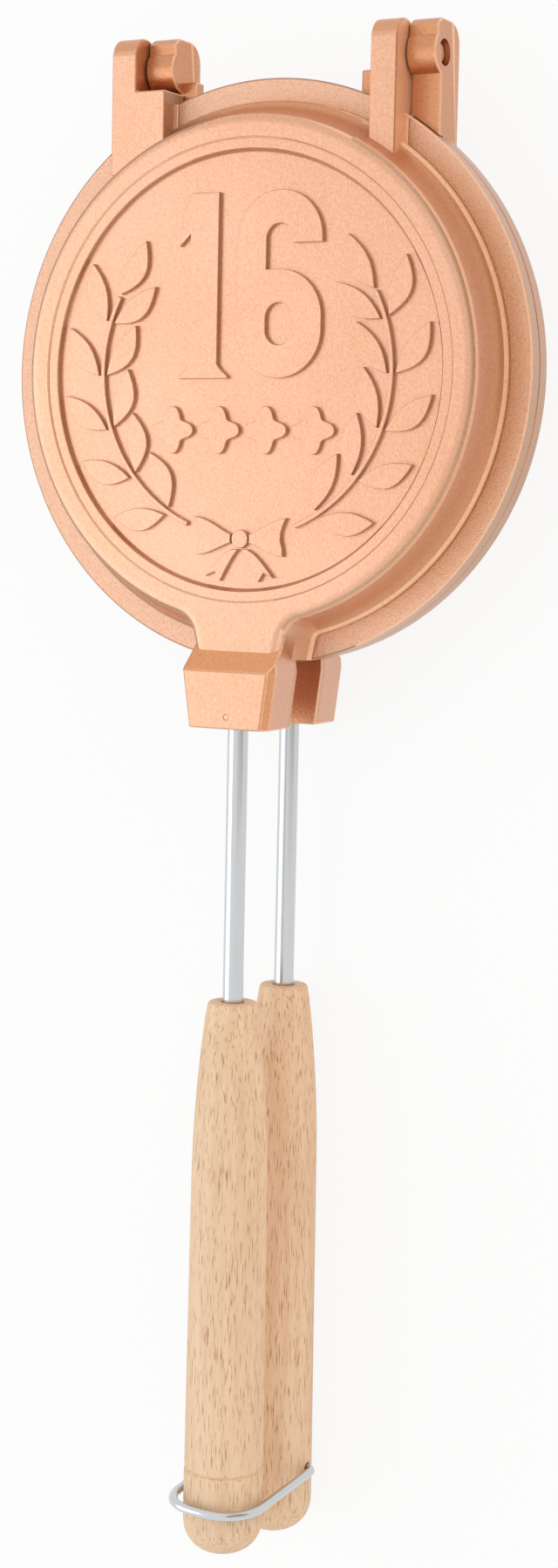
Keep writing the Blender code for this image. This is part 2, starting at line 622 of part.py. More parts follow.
def build_socket_pin(name, side, parent, material):
    start = side * (ROD_HEIGHT - ROD_DIAMETER + GAP)
    pin = round_bar(SOCKET_PIN_DIAMETER / 2, start, side * (BLOCK_FACE - GAP / 2),
                    (0, BLOCK_END_Y + SOCKET_PIN_INSET), "Z", 12)
    return make_solid(name, pin, parent, material)


def grip_radius(distance, length):
    """Radius of a grip at a distance from its rod end: a quick swell, then a slow one."""
    swell = GRIP_START_RADIUS + (GRIP_WAIST_RADIUS - GRIP_START_RADIUS) * (
        1 - (1 - min(distance / GRIP_SWELL, 1)) ** 2)
    slow = max(0.0, (distance - GRIP_SWELL / 2) / (length - GRIP_SWELL / 2))
    return swell + (GRIP_RADIUS - GRIP_WAIST_RADIUS) * min(1.0, 1.1 * slow)


def grip_profile(length, groove_depth):
    """Outline of a grip as (radius, distance from its rod end)."""
    points = [(0, 0), (GRIP_START_RADIUS - GRIP_EDGE, 0)]
    steps = 9
    groove = length - GROOVE_FROM_END
    for i in range(steps):
        distance = GRIP_EDGE + (groove - GROOVE_WIDTH - GRIP_EDGE) * (i / (steps - 1)) ** 1.3
        points.append((grip_radius(distance, length), distance))
    if groove_depth:
        points += [(GRIP_RADIUS - groove_depth, groove), (GRIP_RADIUS, groove + GROOVE_WIDTH / 2)]
    centre = length - GRIP_END_ROUNDING
    steps = 8
    for i in range(steps + 1):
        angle = math.pi / 2 * i / steps
        across = max(math.cos(angle), 0.0) ** (2 / GRIP_END_SQUARENESS)
        along = math.sin(angle) ** (2 / GRIP_END_SQUARENESS)
        points.append((GRIP_RADIUS * across, centre + GRIP_END_ROUNDING * along))
    return points


def build_grip(name, side, parent, material, ring_hole):
    outline = grip_profile(LOWER_GRIP_LENGTH, 0) if ring_hole else grip_profile(UPPER_GRIP_LENGTH, GROOVE_DEPTH)
    profile = [(r, GRIP_START_Y - distance) for r, distance in outline]
    bm = turned(profile, axis="Y", segments=32)
    bmesh.ops.translate(bm, verts=bm.verts, vec=(0, 0, side * ROD_HEIGHT))
    grip = make_solid(name, bm, parent, material, 30.0)
    bore = round_bar(ROD_DIAMETER / 2 + GAP, GRIP_START_Y + ROD_DIAMETER, GRIP_START_Y - ROD_IN_GRIP - GAP,
                     (0, side * ROD_HEIGHT), "Y")
    combine(grip, make_guide(name + "_bore", bore, parent), "DIFFERENCE")
    if ring_hole:
        reach = GRIP_RADIUS + WIRE_DIAMETER
        hole = round_bar(WIRE_DIAMETER / 2 + GAP, -reach, reach, (RING_Y, side * ROD_HEIGHT), "X", 16)
        combine(grip, make_guide(name + "_ring_hole", hole, parent), "DIFFERENCE")
    return grip


def build_hinge_pin(name, arm_x, end_x, parent, material):
    start = arm_x + BLIND_WALL + GAP
    pin = round_bar(PIN_DIAMETER / 2, start, end_x, (HINGE_Y, 0), "X", ROUND_SEGMENTS, PIN_CHAMFER)
    return make_solid(name, pin, parent, material)


def squared_arc(reach, steps):
    """The ring's far end: a half round with slightly squared corners."""
    points = []
    for i in range(steps + 1):
        angle = math.pi / 2 * i / steps
        across = max(math.cos(angle), 0.0) ** RING_SQUARENESS
        points.append((RING_HALF_WIDTH * across, reach + RING_CROWN * math.sin(angle) ** RING_SQUARENESS))
    return points


def ring_route():
    """The wire's centre line in its own frame: (x, z) from one end round to the other."""
    reach = 2 * ROD_HEIGHT
    corner = RING_CORNER
    half = ([(RING_END_GAP / 2, 0), (RING_HALF_WIDTH / 2, 0)]
            + arc(RING_HALF_WIDTH - corner, corner, corner, -90, 0, 4)
            + [(RING_HALF_WIDTH, reach * 0.5)]
            + squared_arc(reach, 8))
    return half + [(-x, z) for x, z in reversed(half[:-1])]


def build_ring(parent, material):
    curve = bpy.data.curves.new("latch_ring", "CURVE")
    curve.dimensions = "3D"
    curve.bevel_depth = WIRE_DIAMETER / 2
    curve.bevel_resolution = 2
    curve.use_fill_caps = True
    line = curve.splines.new("POLY")
    route = ring_route()
    line.points.add(len(route) - 1)
    for point, (x, z) in zip(line.points, route):
        point.co = (x, 0, z, 1)
        point.radius = 1
    curve.materials.append(material)
    ring = bpy.data.objects.new("latch_ring", curve)
    ring.parent = parent
    ring.location = (0, RING_Y, -ROD_HEIGHT)
    bpy.context.collection.objects.link(ring)
    return ring


def build():
    clear_scene()
    coat = make_material("copper_coat", (0.86, 0.50, 0.33), 0.42, 0.25)
    steel = make_material("bright_steel", (0.72, 0.73, 0.75), 0.25, 1.0)
    beech = make_material("beech", (0.78, 0.57, 0.36), 0.6, 0.0)

    centre = make_empty("mould_centre", (0, -CENTRE_Y, -LOWEST))
    lid = make_empty("lid_axis", (0, HINGE_Y, 0), centre)

    build_upper_mould(lid, coat)
    build_lower_mould(centre, coat)
    build_rod("upper_rod", 1, lid, steel)
    build_rod("lower_rod", -1, centre, steel)
    build_socket_pin("upper_socket_pin", 1, lid, steel)
    build_socket_pin("lower_socket_pin", -1, centre, steel)
    build_grip("upper_grip", 1, lid, beech, False)
    build_grip("lower_grip", -1, centre, beech, True)
    build_hinge_pin("left_hinge_pin", LEFT_ARM_X, LEFT_LUG_END - BLIND_WALL - GAP, centre, steel)
    build_hinge_pin("right_hinge_pin", RIGHT_ARM_X, RIGHT_LUG_X + LUG_WIDTH - PIN_RECESS, centre, steel)
    build_ring(centre, steel)
    bpy.context.view_layer.update()


build()
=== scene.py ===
import math
import json

import bpy
from mathutils import Matrix, Vector

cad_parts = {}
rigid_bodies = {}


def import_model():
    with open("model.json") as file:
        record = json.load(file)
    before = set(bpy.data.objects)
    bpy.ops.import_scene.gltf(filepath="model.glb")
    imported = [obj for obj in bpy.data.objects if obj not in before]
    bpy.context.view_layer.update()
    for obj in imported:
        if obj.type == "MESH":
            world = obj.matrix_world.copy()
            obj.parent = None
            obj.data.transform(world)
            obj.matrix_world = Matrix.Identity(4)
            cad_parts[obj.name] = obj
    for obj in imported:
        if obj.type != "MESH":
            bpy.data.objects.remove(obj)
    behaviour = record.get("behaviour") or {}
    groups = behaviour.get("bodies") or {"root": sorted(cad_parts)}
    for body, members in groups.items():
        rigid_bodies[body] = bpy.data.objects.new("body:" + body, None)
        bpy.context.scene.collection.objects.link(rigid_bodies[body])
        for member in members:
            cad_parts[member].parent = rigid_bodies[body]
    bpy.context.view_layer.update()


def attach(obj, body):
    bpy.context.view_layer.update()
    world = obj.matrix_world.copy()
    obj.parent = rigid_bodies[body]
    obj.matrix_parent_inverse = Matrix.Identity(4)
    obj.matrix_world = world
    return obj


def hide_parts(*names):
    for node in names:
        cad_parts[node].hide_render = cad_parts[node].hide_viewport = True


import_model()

# The moulds are modelled in millimetres round the middle of the parting plane, then put in place
mouldCentre = Vector((0.0, 0.11185, 0.0244))
millimetre = 0.001
mergeDistance = 0.002
tiny = 0.0001
quarter = math.pi / 2
nodeSpacing = 200


def deselectAll():
    for obj in bpy.context.view_layer.objects:
        obj.select_set(False)


def makeActive(obj):
    deselectAll()
    obj.select_set(True)
    bpy.context.view_layer.objects.active = obj


def editAll(obj):
    makeActive(obj)
    bpy.ops.object.mode_set(mode="EDIT")
    bpy.ops.mesh.select_mode(type="VERT")
    bpy.ops.mesh.select_all(action="SELECT")


def editChosen(obj, kind, test):
    # Goes into edit mode with those vertices, edges or faces selected that pass the test
    makeActive(obj)
    bpy.ops.object.mode_set(mode="EDIT")
    bpy.ops.mesh.select_mode(type=kind)
    bpy.ops.mesh.select_all(action="DESELECT")
    leaveEdit()
    for element in {"VERT": obj.data.vertices, "EDGE": obj.data.edges, "FACE": obj.data.polygons}[kind]:
        element.select = test(element)
    bpy.ops.object.mode_set(mode="EDIT")


def leaveEdit():
    bpy.ops.object.mode_set(mode="OBJECT")


def closeMesh():
    # Merges double points, turns the faces outwards and leaves edit mode
    bpy.ops.mesh.remove_doubles(threshold=mergeDistance)
    bpy.ops.mesh.normals_make_consistent(inside=False)
    leaveEdit()


def applyPlacement():
    bpy.ops.object.transform_apply(location=True, rotation=True, scale=True)


def newShape(name, primitive, **settings):
    deselectAll()
    primitive(**settings)
    obj = bpy.context.active_object
    obj.name = name
    return obj


def newBox(name, low, high):
    obj = newShape(name, bpy.ops.mesh.primitive_cube_add, size=1)
    obj.scale = [b - a for a, b in zip(low, high)]
    obj.location = [(a + b) / 2 for a, b in zip(low, high)]
    applyPlacement()
    return obj


def newBar(name, radius, start, end, y=0, z=0, verts=48):
    # A round bar along X
    obj = newShape(name, bpy.ops.mesh.primitive_cylinder_add, vertices=verts, radius=radius,
                   depth=end - start, location=((start + end) / 2, y, z), rotation=(0, quarter, 0))
    applyPlacement()
    return obj


def spinProfile(name, points, steps=192):
    # Draws a profile of (radius, height) point by point and spins it round Z
    obj = newShape(name, bpy.ops.mesh.primitive_plane_add, size=1)
    editAll(obj)
    bpy.ops.mesh.merge(type="CENTER")
    bpy.ops.transform.translate(value=(points[0][0], 0, points[0][1]))
    for here, there in zip(points, points[1:]):
        step = (there[0] - here[0], 0, there[1] - here[1])
        bpy.ops.mesh.extrude_region_move(TRANSFORM_OT_translate={"value": step})
    bpy.ops.mesh.select_all(action="SELECT")
    bpy.ops.mesh.spin(steps=steps, angle=2 * math.pi, center=(0, 0, 0), axis=(0, 0, 1))
    bpy.ops.mesh.select_all(action="SELECT")
    closeMesh()
    return obj


def addLine(curve, points, closed):
    line = curve.splines.new("POLY")
    line.points.add(len(points) - 1)
    for point, place in zip(line.points, points):
        point.co = (*place, 1)
    line.use_cyclic_u = closed


def curveToMesh(name, curve, place):
    obj = bpy.data.objects.new(name, curve)
    bpy.context.collection.objects.link(obj)
    obj.location = place
    makeActive(obj)
    bpy.ops.object.convert(target="MESH")
    applyPlacement()
    editAll(obj)
    closeMesh()
    return obj


def turnTo(obj, angles, place):
    makeActive(obj)
    obj.rotation_euler = angles
    obj.location = place
    applyPlacement()


def cutBeyond(obj, point, normal):
    # Cuts off all that lies beyond a plane and closes the cut
    editAll(obj)
    direction = Vector(normal).normalized()
    bpy.ops.mesh.bisect(plane_co=point, plane_no=direction, use_fill=True, clear_outer=True, threshold=tiny)
    leaveEdit()


def roundCorner(obj, y, z, radius, start, end, steps):
    # Rounds a corner along X with a row of tangent cuts
    for i in range(steps + 1):
        angle = math.radians(start + (end - start) * i / steps)
        normal = (0, math.cos(angle), math.sin(angle))
        cutBeyond(obj, (0, y + radius * normal[1], z + radius * normal[2]), normal)


def applyAll(obj):
    makeActive(obj)
    for modifier in list(obj.modifiers):
        bpy.ops.object.modifier_apply(modifier=modifier.name)


def softenEdges(obj, width, angle=40, clamp=True):
    bevel = obj.modifiers.new("soft edges", "BEVEL")
    bevel.width = width
    bevel.segments = 3
    bevel.limit_method = "ANGLE"
    bevel.angle_limit = math.radians(angle)
    bevel.use_clamp_overlap = clamp
    applyAll(obj)


def combine(obj, tools, operation):
    for tool in tools:
        boolean = obj.modifiers.new("combine", "BOOLEAN")
        boolean.operation = operation
        boolean.object = tool
        boolean.solver = "MANIFOLD"
        applyAll(obj)
        bpy.data.objects.remove(tool, do_unlink=True)


def unite(obj, *tools):
    combine(obj, tools, "UNION")


def cutOut(obj, *tools):
    combine(obj, tools, "DIFFERENCE")


def joinInto(obj, others):
    makeActive(obj)
    for other in others:
        other.select_set(True)
    bpy.ops.object.join()


def flipDown(obj):
    # Mirrors a shape through the parting plane
    editAll(obj)
    bpy.ops.transform.resize(value=(1, 1, -1), center_override=(0, 0, 0))
    bpy.ops.mesh.normals_make_consistent(inside=False)
    leaveEdit()


def smoothShading(obj, angle=30, weighted=True):
    makeActive(obj)
    bpy.ops.object.shade_smooth_by_angle(angle=math.radians(angle))
    if weighted:
        normals = obj.modifiers.new("weighted normals", "WEIGHTED_NORMAL")
        normals.keep_sharp = True
        normals.weight = 80
        applyAll(obj)


def giveMaterials(obj, *materials):
    # Booleans leave empty slots behind, so the list is made again
    obj.data.materials.clear()
    for material in materials:
        obj.data.materials.append(material)
    for face in obj.data.polygons:
        face.material_index = 0


def putInPlace(obj, body, node):
    # Millimetres become metres at the mould's place, and the piece takes over from its CAD node
    makeActive(obj)
    obj.scale = (millimetre,) * 3
    obj.location = mouldCentre
    applyPlacement()
    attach(obj, body)
    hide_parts(node)


def finishPart(obj, material, body, node):
    giveMaterials(obj, material)
    smoothShading(obj)
    putInPlace(obj, body, node)


def arcPoints(across, up, radius, start, end, steps):
    angles = [math.radians(start + (end - start) * i / steps) for i in range(steps + 1)]
    return [(across + radius * math.cos(a), up + radius * math.sin(a)) for a in angles]


def newMaterial(name):
    material = bpy.data.materials.new(name)
    material.use_nodes = True
    tree = material.node_tree
    return material, tree, tree.nodes["Principled BSDF"]


def setInputs(node, values):
    # A node's output is linked, anything else is set as a constant
    for name, value in values.items():
        if isinstance(value, bpy.types.NodeSocket):
            node.id_data.links.new(value, node.inputs[name])
        else:
            node.inputs[name].default_value = value


def addNode(tree, kind, inputs, **values):
    # The nodes stand in a row, in the order in which they are made
    node = tree.nodes.new(kind)
    node.location = (nodeSpacing * len(tree.nodes), 0)
    for key, value in values.items():
        setattr(node, key, value)
    setInputs(node, inputs)
    return node


def addMath(tree, operation, *values, vector=False):
    kind = "ShaderNodeVectorMath" if vector else "ShaderNodeMath"
    node = addNode(tree, kind, dict(enumerate(values)), operation=operation)
    return node.outputs["Vector" if vector and operation != "LENGTH" else "Value"]


# The Mix node's two inputs and its result, by the kind of data
mixSockets = {"FLOAT": (2, 3, 0), "RGBA": (6, 7, 2)}


def addMix(tree, kind, share, first, second, blend="MIX"):
    a, b, result = mixSockets[kind]
    inputs = {"Factor": share, a: first, b: second}
    return addNode(tree, "ShaderNodeMix", inputs, data_type=kind, blend_type=blend).outputs[result]


def addNoise(tree, source, scale, detail, stretch=(1, 1, 1)):
    place = addNode(tree, "ShaderNodeMapping", {"Vector": source, "Scale": stretch}).outputs["Vector"]
    noise = addNode(tree, "ShaderNodeTexNoise", {"Vector": place, "Scale": scale, "Detail": detail})
    return noise.outputs["Fac"]


def addRamp(tree, source, places, colours):
    ramp = addNode(tree, "ShaderNodeValToRGB", {"Fac": source})
    for point, place, colour in zip(ramp.color_ramp.elements, places, colours):
        point.position = place
        point.color = (*colour, 1)
    return ramp.outputs["Color"]


def addBump(tree, height, strength, distance, invert=False):
    inputs = {"Height": height, "Strength": strength, "Distance": distance}
    return addNode(tree, "ShaderNodeBump", inputs, invert=invert).outputs["Normal"]


def objectPlace(tree):
    return addNode(tree, "ShaderNodeTexCoord", {}).outputs["Object"]


def linearColour(red, green, blue):
    def channel(value):
        value /= 255
        return value / 12.92 if value <= 0.04045 else ((value + 0.055) / 1.055) ** 2.4
    return (channel(red), channel(green), channel(blue))


# The tints and the foot and wall values below paint light and shade into the coat's colour
coat = {
    "pale": (0.765, 0.425, 0.278), "deep": (0.69, 0.335, 0.18),
    "metallic": 0.8, "edgeHighlightMetallic": 0.5, "edgeShadeMetallic": 0.3,
    "lacquer": 0.35, "lacquerIor": 1.7, "lacquerRoughness": 0.22,
    "smoothRoughness": 0.33, "grainRoughness": 0.44,
    "smoothGrain": 0.24, "panelGrain": 0.7, "edgeGrain": 0.1, "grainDepth": 0.0002,
    "broadSize": 25, "gritSize": 2600,
    "plainSpeckles": (0.7, (0.30, 0.60), 1500), "panelSpeckles": (0.9, (0.30, 0.52), 2600),
    "wallShadeTint": (0.80, 0.85, 0.82), "outerShadeTint": (0.84, 0.93, 0.98),
    "edgeHighlightTint": (1.22, 1.32, 1.30), "edgeShadeTint": (0.60, 0.58, 0.54),
    "slopeShadeTint": (1.03, 0.88, 0.62), "panelSheenTint": (1.05, 1.12, 1.16), "footShadeTint": (0.86, 0.70, 0.51),
    "footShadeLow": 0.0060, "footShadeHigh": 0.0098, "coveShadeHigh": 0.0150,
    "wallShadeShift": 0.005, "wallShadeLow": 0.0618, "wallShadeHigh": 0.0700,
}


def fadePaintedShade(tree, value, low, high, colour):
    # The painted shade, whole at the low value and gone at the high one
    limits = {"Value": value, "From Min": low, "From Max": high, "To Min": 1.0, "To Max": 0.0}
    share = addNode(tree, "ShaderNodeMapRange", limits, interpolation_type="SMOOTHSTEP").outputs["Result"]
    return addMix(tree, "RGBA", share, colour, (*coat["footShadeTint"], 1), "MULTIPLY")


def paintedFootShade(tree, place, colour, high):
    # Painted shade: the coat grows darker towards the foot of the cove, on both moulds
    level = addNode(tree, "ShaderNodeSeparateXYZ", {"Vector": place}).outputs["Z"]
    height = addMath(tree, "ABSOLUTE", addMath(tree, "SUBTRACT", level, mouldCentre.z))
    return fadePaintedShade(tree, height, coat["footShadeLow"], high, colour)


def paintedShadeNearWall(tree, place, colour, high):
    # Painted shade: the flange grows darker towards the wall that stands on it, and most on the right side
    centre = mouldCentre + Vector((coat["wallShadeShift"], 0, 0))
    offset = addMath(tree, "SUBTRACT", place, centre, vector=True)
    level = addMath(tree, "MULTIPLY", offset, (1, 1, 0), vector=True)
    radius = addMath(tree, "LENGTH", level, vector=True)
    return fadePaintedShade(tree, radius, coat["wallShadeLow"], high, colour)


def copperCoat(name, grain, roughness, paintedLightTint=(1, 1, 1), metallic=coat["metallic"],
               speckles=coat["plainSpeckles"], shade=None):
    # A pearly copper-coloured coat over cast metal; its multiplier and its shade paint light and shade into
    # it
    material, tree, shader = newMaterial(name)
    place = objectPlace(tree)
    share, stops, size = speckles
    broad = addNoise(tree, place, coat["broadSize"], 1)
    fine = addNoise(tree, place, size, 3)
    grit = addNoise(tree, place, coat["gritSize"], 2)
    paintedLightColours = [[a * b for a, b in zip(coat[key], paintedLightTint)] for key in ("deep", "pale")]
    colour = addRamp(tree, addMix(tree, "FLOAT", share, broad, fine), stops, paintedLightColours)
    if shade:
        paintShade, high = shade
        colour = paintShade(tree, place, colour, high)
    bump = addBump(tree, addMath(tree, "ADD", fine, grit), grain, coat["grainDepth"])
    setInputs(shader, {"Base Color": colour, "Normal": bump, "Metallic": metallic, "Roughness": roughness,
                       "Coat Weight": coat["lacquer"], "Coat IOR": coat["lacquerIor"],
                       "Coat Roughness": coat["lacquerRoughness"]})
    return material


# Each noise is its scale, its detail and its stretch
wood = {
    "light": linearColour(240, 208, 176), "middle": linearColour(224, 188, 153),
    "fleck": linearColour(172, 120, 80), "roughness": 0.58,
    "broad": (30, 3, (2.2, 0.25, 2.2)), "grain": (260, 4, (2.2, 0.10, 2.2)),
    "flecks": (1900, 2, (1.6, 0.11, 1.6)), "grainShare": 0.55, "grainStops": (0.32, 0.62),
    "fleckStops": (0.56, 0.68), "fleckShare": 0.75, "fleckBump": 0.25, "fleckDepth": 0.0001,
}


def beechWood():
    material, tree, shader = newMaterial("beech")
    place = objectPlace(tree)
    broad, grain, flecks = (addNoise(tree, place, *wood[key]) for key in ("broad", "grain", "flecks"))
    mix = addMix(tree, "FLOAT", wood["grainShare"], broad, grain)
    base = addRamp(tree, mix, wood["grainStops"], (wood["middle"], wood["light"]))
    mask = addRamp(tree, flecks, wood["fleckStops"], ((0, 0, 0), (wood["fleckShare"],) * 3))
    setInputs(shader, {"Base Color": addMix(tree, "RGBA", mask, base, (*wood["fleck"], 1)),
                       "Normal": addBump(tree, mask, wood["fleckBump"], wood["fleckDepth"], True),
                       "Roughness": wood["roughness"]})
    return material


# Fine streaks change the roughness of bare metal a little
metal = {"streaks": 400, "detail": 3, "stops": (0.3, 0.7), "shares": (0.7, 1.3)}


def streakedMetal(name, colour, roughness, stretch):
    material, tree, shader = newMaterial(name)
    streaks = addNoise(tree, objectPlace(tree), metal["streaks"], metal["detail"], stretch)
    levels = [(roughness * share,) * 3 for share in metal["shares"]]
    setInputs(shader, {"Base Color": (*colour, 1), "Metallic": 1.0,
                       "Roughness": addRamp(tree, streaks, metal["stops"], levels)})
    return material


smoothSurface = (coat["smoothGrain"], coat["smoothRoughness"])
wallSurface = (coat["smoothGrain"], coat["grainRoughness"])
edgeSurface = (coat["edgeGrain"], coat["grainRoughness"])
# The plain coat carries painted shade at the foot, the others painted sheen, shade and highlights as named
mouldCoats = {
    "smooth": copperCoat("copper coat", *smoothSurface, shade=(paintedFootShade, coat["footShadeHigh"])),
    # The flange's cast grain also carries a painted sheen and painted shade near the wall
    "grain": copperCoat("copper coat, cast grain with painted sheen and shade", coat["panelGrain"], coat["grainRoughness"],
                        coat["panelSheenTint"], speckles=coat["panelSpeckles"],
                        shade=(paintedShadeNearWall, coat["wallShadeHigh"])),
    # Short walls and a band under the rim on the right get painted shade
    "wall": copperCoat("copper coat, painted shade on walls", *wallSurface, coat["wallShadeTint"]),
    # The outer wall of the flange gets painted shade
    "outer": copperCoat("copper coat, painted shade on outer wall", *wallSurface, coat["outerShadeTint"]),
    # Edges facing the light get painted highlights
    "bright": copperCoat("copper coat, painted highlights on edges", *edgeSurface, coat["edgeHighlightTint"],
                         coat["edgeHighlightMetallic"]),
    # Edges turned away from the light get painted shade
    "dark": copperCoat("copper coat, painted shade on edges", *edgeSurface, coat["edgeShadeTint"], coat["edgeShadeMetallic"]),
    # The cove carries painted shade almost up to the rim
    "cove": copperCoat("copper coat, cove with painted shade", *smoothSurface, shade=(paintedFootShade, coat["coveShadeHigh"])),
    # The block's slope gets painted shade
    "slope": copperCoat("copper coat, slope with painted shade", coat["edgeGrain"], coat["smoothRoughness"], coat["slopeShadeTint"]),
}
beech = beechWood()
brightSteel = streakedMetal("bright steel", (0.62, 0.635, 0.65), 0.20, (4, 0.1, 4))
pinMetal = streakedMetal("copper-plated pins", (0.74, 0.42, 0.26), 0.36, (0.2, 4, 4))
print("materials done")


# All lengths of the pieces are in millimetres from here on
casting = {
    "face": 15.9, "flangeRadius": 72.5, "flangeTop": 4.65, "flangeEdge": 0.2, "chamferWide": 0.42,
    "chamferDeep": 0.25,
    "shoulderRadius": 66.8, "shoulderTop": 6.1, "shoulderRound": 0.8, "bodyFoot": 2.0, "bodySteps": 288,
    "coveIn": 0.35, "coveUp": 0.10, "coveSteps": 14, "faceRadius": 62.4, "rimWide": 2.6, "rimDeep": 1.3,
    "stepRadius": 56.8, "stepDepth": 0.4, "discRadius": 54.1, "discDepth": 1.8, "wallDraft": 0.5,
    "discFoot": (0.3, 0.25), "discEdge": (0.1, 0.2), "stepFoot": (0.35, 0.2), "stepEdge": (0.1, 0.08),
    "clearOfFace": (0.6, 1.5), "gap": 0.15, "ringSteps": 240,
}
# The block's left and right side: x at its wide and at its far end, and the bevel's width and depth
neck = {
    "footHalf": 17.0, "farHalf": 14.6, "farY": -80.0, "endY": -70.9, "cornerRound": 1.1, "cornerY": -60.0,
    "slopeStart": -69.0, "slopeEnd": -73.9, "blockInto": 4.0, "blockHalf": 20.0, "blockFace": 20.5,
    "blockBack": 6.9, "blockBackEnd": 8.0, "blockEnd": -88.3,
    "left": (-12.9, -10.8, 0.6, 0.6), "right": (12.8, 11.0, 1.6, 2.4), "sideLean": 0.08,
    "blockEdge": 0.45, "blockEdgeAngle": 25, "rodHole": 2.9, "rodHoleDepth": 15.3, "rodHeight": 14.0,
    "pinHole": 0.79, "pinFromEnd": 3.1, "pinHoleStart": 12.0,
}
hinge = {
    "y": 76.5, "eye": 5.4, "bore": 3.2, "armWidth": 7.0, "armFace": 9.9, "armTop": 84.3, "armRound": 5.2,
    "leftArm": -42.2, "rightArm": 30.3, "armRoundEnd": 85, "lugWidth": 7.8, "lugTop": 84.4, "lugBack": -8.9,
    "lugRound": 5.2, "facet": 3.9, "front": 1.7, "frontFoot": 55.0, "shelfY": 70.6, "shelfX": -26.8,
    "root": 50.0, "blindWall": 1.4,
    "stopIn": 23.2, "stopOut": 27.6, "stopFoot": 60.0, "stopTop": 73.8, "stopLow": -4.0,
    "play": 0.3, "edge": 0.4, "lipWidth": 1.4, "lipTop": 5.25, "lipEdge": 0.35, "lipInto": 0.3,
    "lipFoot": 1.5, "pinRadius": 2.6, "pinStart": 1.7, "leftPinEnd": 13.4, "rightPinEnd": 14.0,
    "pinEdge": 0.5, "pinDimple": (0.6, 0.4), "crestY": 1.7, "crestZ": 2.1, "crestMiddle": (0.5, 0.7),
    "crestEnd": 0.3, "footClear": 0.2, "lugSteps": 288,
}
cavity = {
    "radius": 61.0, "floorRadius": 57.5, "round": 2.5, "floor": 11.1, "plateRadius": 49.0, "plateStep": 0.8,
    "rimEdge": 0.6, "below": -5.0, "under": 0.01,
    "beadRadius": 66.5, "beadWidth": 2.0, "beadHeight": 0.8, "beadTop": 0.7, "beadRoot": 1.0,
}


def bodyOutline():
    # A round slab whose arc below the neck is pushed out straight
    c = casting
    foot, top = c["bodyFoot"], c["shoulderTop"] - c["shoulderRound"]
    obj = newShape("raisedBody", bpy.ops.mesh.primitive_cylinder_add, vertices=c["bodySteps"],
                   radius=c["shoulderRadius"], depth=top - foot, location=(0, 0, (top + foot) / 2))
    applyPlacement()
    editChosen(obj, "VERT", lambda vert: vert.co.y < 0 and abs(vert.co.x) < neck["footHalf"])
    bpy.ops.transform.resize(value=(neck["farHalf"] / neck["footHalf"], 0, 1), center_override=(0, 0, 0))
    bpy.ops.transform.translate(value=(0, neck["farY"], 0))
    leaveEdit()
    return obj


def roundInnerCorners(obj):
    # The two upright edges where the neck leaves the round body get a small radius
    same = 0.01
    inner = min(vert.co.x for vert in obj.data.vertices
                if vert.co.y < neck["cornerY"] and vert.co.x > neck["footHalf"] - 0.2)

    def isCorner(edge):
        a, b = (obj.data.vertices[i].co for i in edge.vertices)
        upright = abs(a.x - b.x) < same and abs(a.y - b.y) < same
        return upright and a.y < neck["cornerY"] and abs(abs(a.x) - inner) < same

    editChosen(obj, "EDGE", isCorner)
    bpy.ops.mesh.bevel(offset=neck["cornerRound"], segments=5, affect="EDGES")
    leaveEdit()


def wallProfile():
    # Shoulder, cove and rounded rim, from the foot up to the face, as points of (radius, height)
    c = casting
    straight = c["shoulderTop"] - c["shoulderRound"]
    profile = [(c["shoulderRadius"], straight)]
    profile += arcPoints(c["shoulderRadius"] - c["shoulderRound"], straight, c["shoulderRound"], 15, 75, 4)
    rim = [(c["faceRadius"] - c["rimWide"] * (1 - x), c["face"] - c["rimDeep"] * (1 - z))
           for x, z in arcPoints(0, 0, 1, 12, 90, 10)]
    start, end = Vector(profile[-1]), Vector(rim[0])
    bend = Vector((c["faceRadius"] + c["coveIn"] * (c["shoulderRadius"] - c["faceRadius"]),
                   c["shoulderTop"] + c["coveUp"] * (c["face"] - c["shoulderTop"])))
    for i in range(1, c["coveSteps"]):
        t = i / c["coveSteps"]
        profile.append(tuple((1 - t) ** 2 * start + 2 * t * (1 - t) * bend + t ** 2 * end))
    return profile + rim


def raisedBody():
    # The round body and its neck share one outline, so that their wall is one cove
    obj = bodyOutline()
    roundInnerCorners(obj)
    profile = wallProfile()
    editChosen(obj, "FACE", lambda face: face.normal.z > 0.9)
    for here, there in zip(profile, profile[1:]):
        bpy.ops.mesh.inset(thickness=max(here[0] - there[0], tiny), depth=there[1] - here[1],
                           use_even_offset=True, use_boundary=True)
    leaveEdit()
    cutBeyond(obj, (0, neck["endY"], 0), (0, -1, 0))
    return obj


def socketBlock():
    n = neck
    face, back, slopeEnd = n["blockFace"], n["blockBack"], n["slopeEnd"]
    obj = newBox("socketBlock", (-n["blockHalf"], n["blockEnd"], back),
                 (n["blockHalf"], n["slopeStart"] + n["blockInto"], face))
    rise = (face - casting["face"]) / (n["slopeStart"] - slopeEnd)
    cutBeyond(obj, (0, slopeEnd, face), (0, rise, 1))
    cutBeyond(obj, (0, slopeEnd, back), (0, n["blockBackEnd"] - back, n["blockEnd"] - slopeEnd))
    for side, (top, end, wide, deep) in ((-1, n["left"]), (1, n["right"])):
        taper = abs(top - end) / (slopeEnd - n["blockEnd"])
        # Below the slope the side tapers away, above it the side leans in to meet the neck
        for lean in (-taper, n["sideLean"]):
            cutBeyond(obj, (top, slopeEnd, 0), (side, lean, 0))
            cutBeyond(obj, (top, slopeEnd, face - deep), (side * deep, lean * deep, wide))
    softenEdges(obj, n["blockEdge"], n["blockEdgeAngle"], False)
    return obj


def flangeRing(name):
    c = casting
    r, edge = c["flangeRadius"], c["flangeEdge"]
    return spinProfile(name, [(0, c["gap"]), (r - edge, c["gap"]), (r, c["gap"] + edge),
                              (r, c["flangeTop"] - c["chamferDeep"]), (r - c["chamferWide"], c["flangeTop"]),
                              (0, c["flangeTop"])], c["ringSteps"])


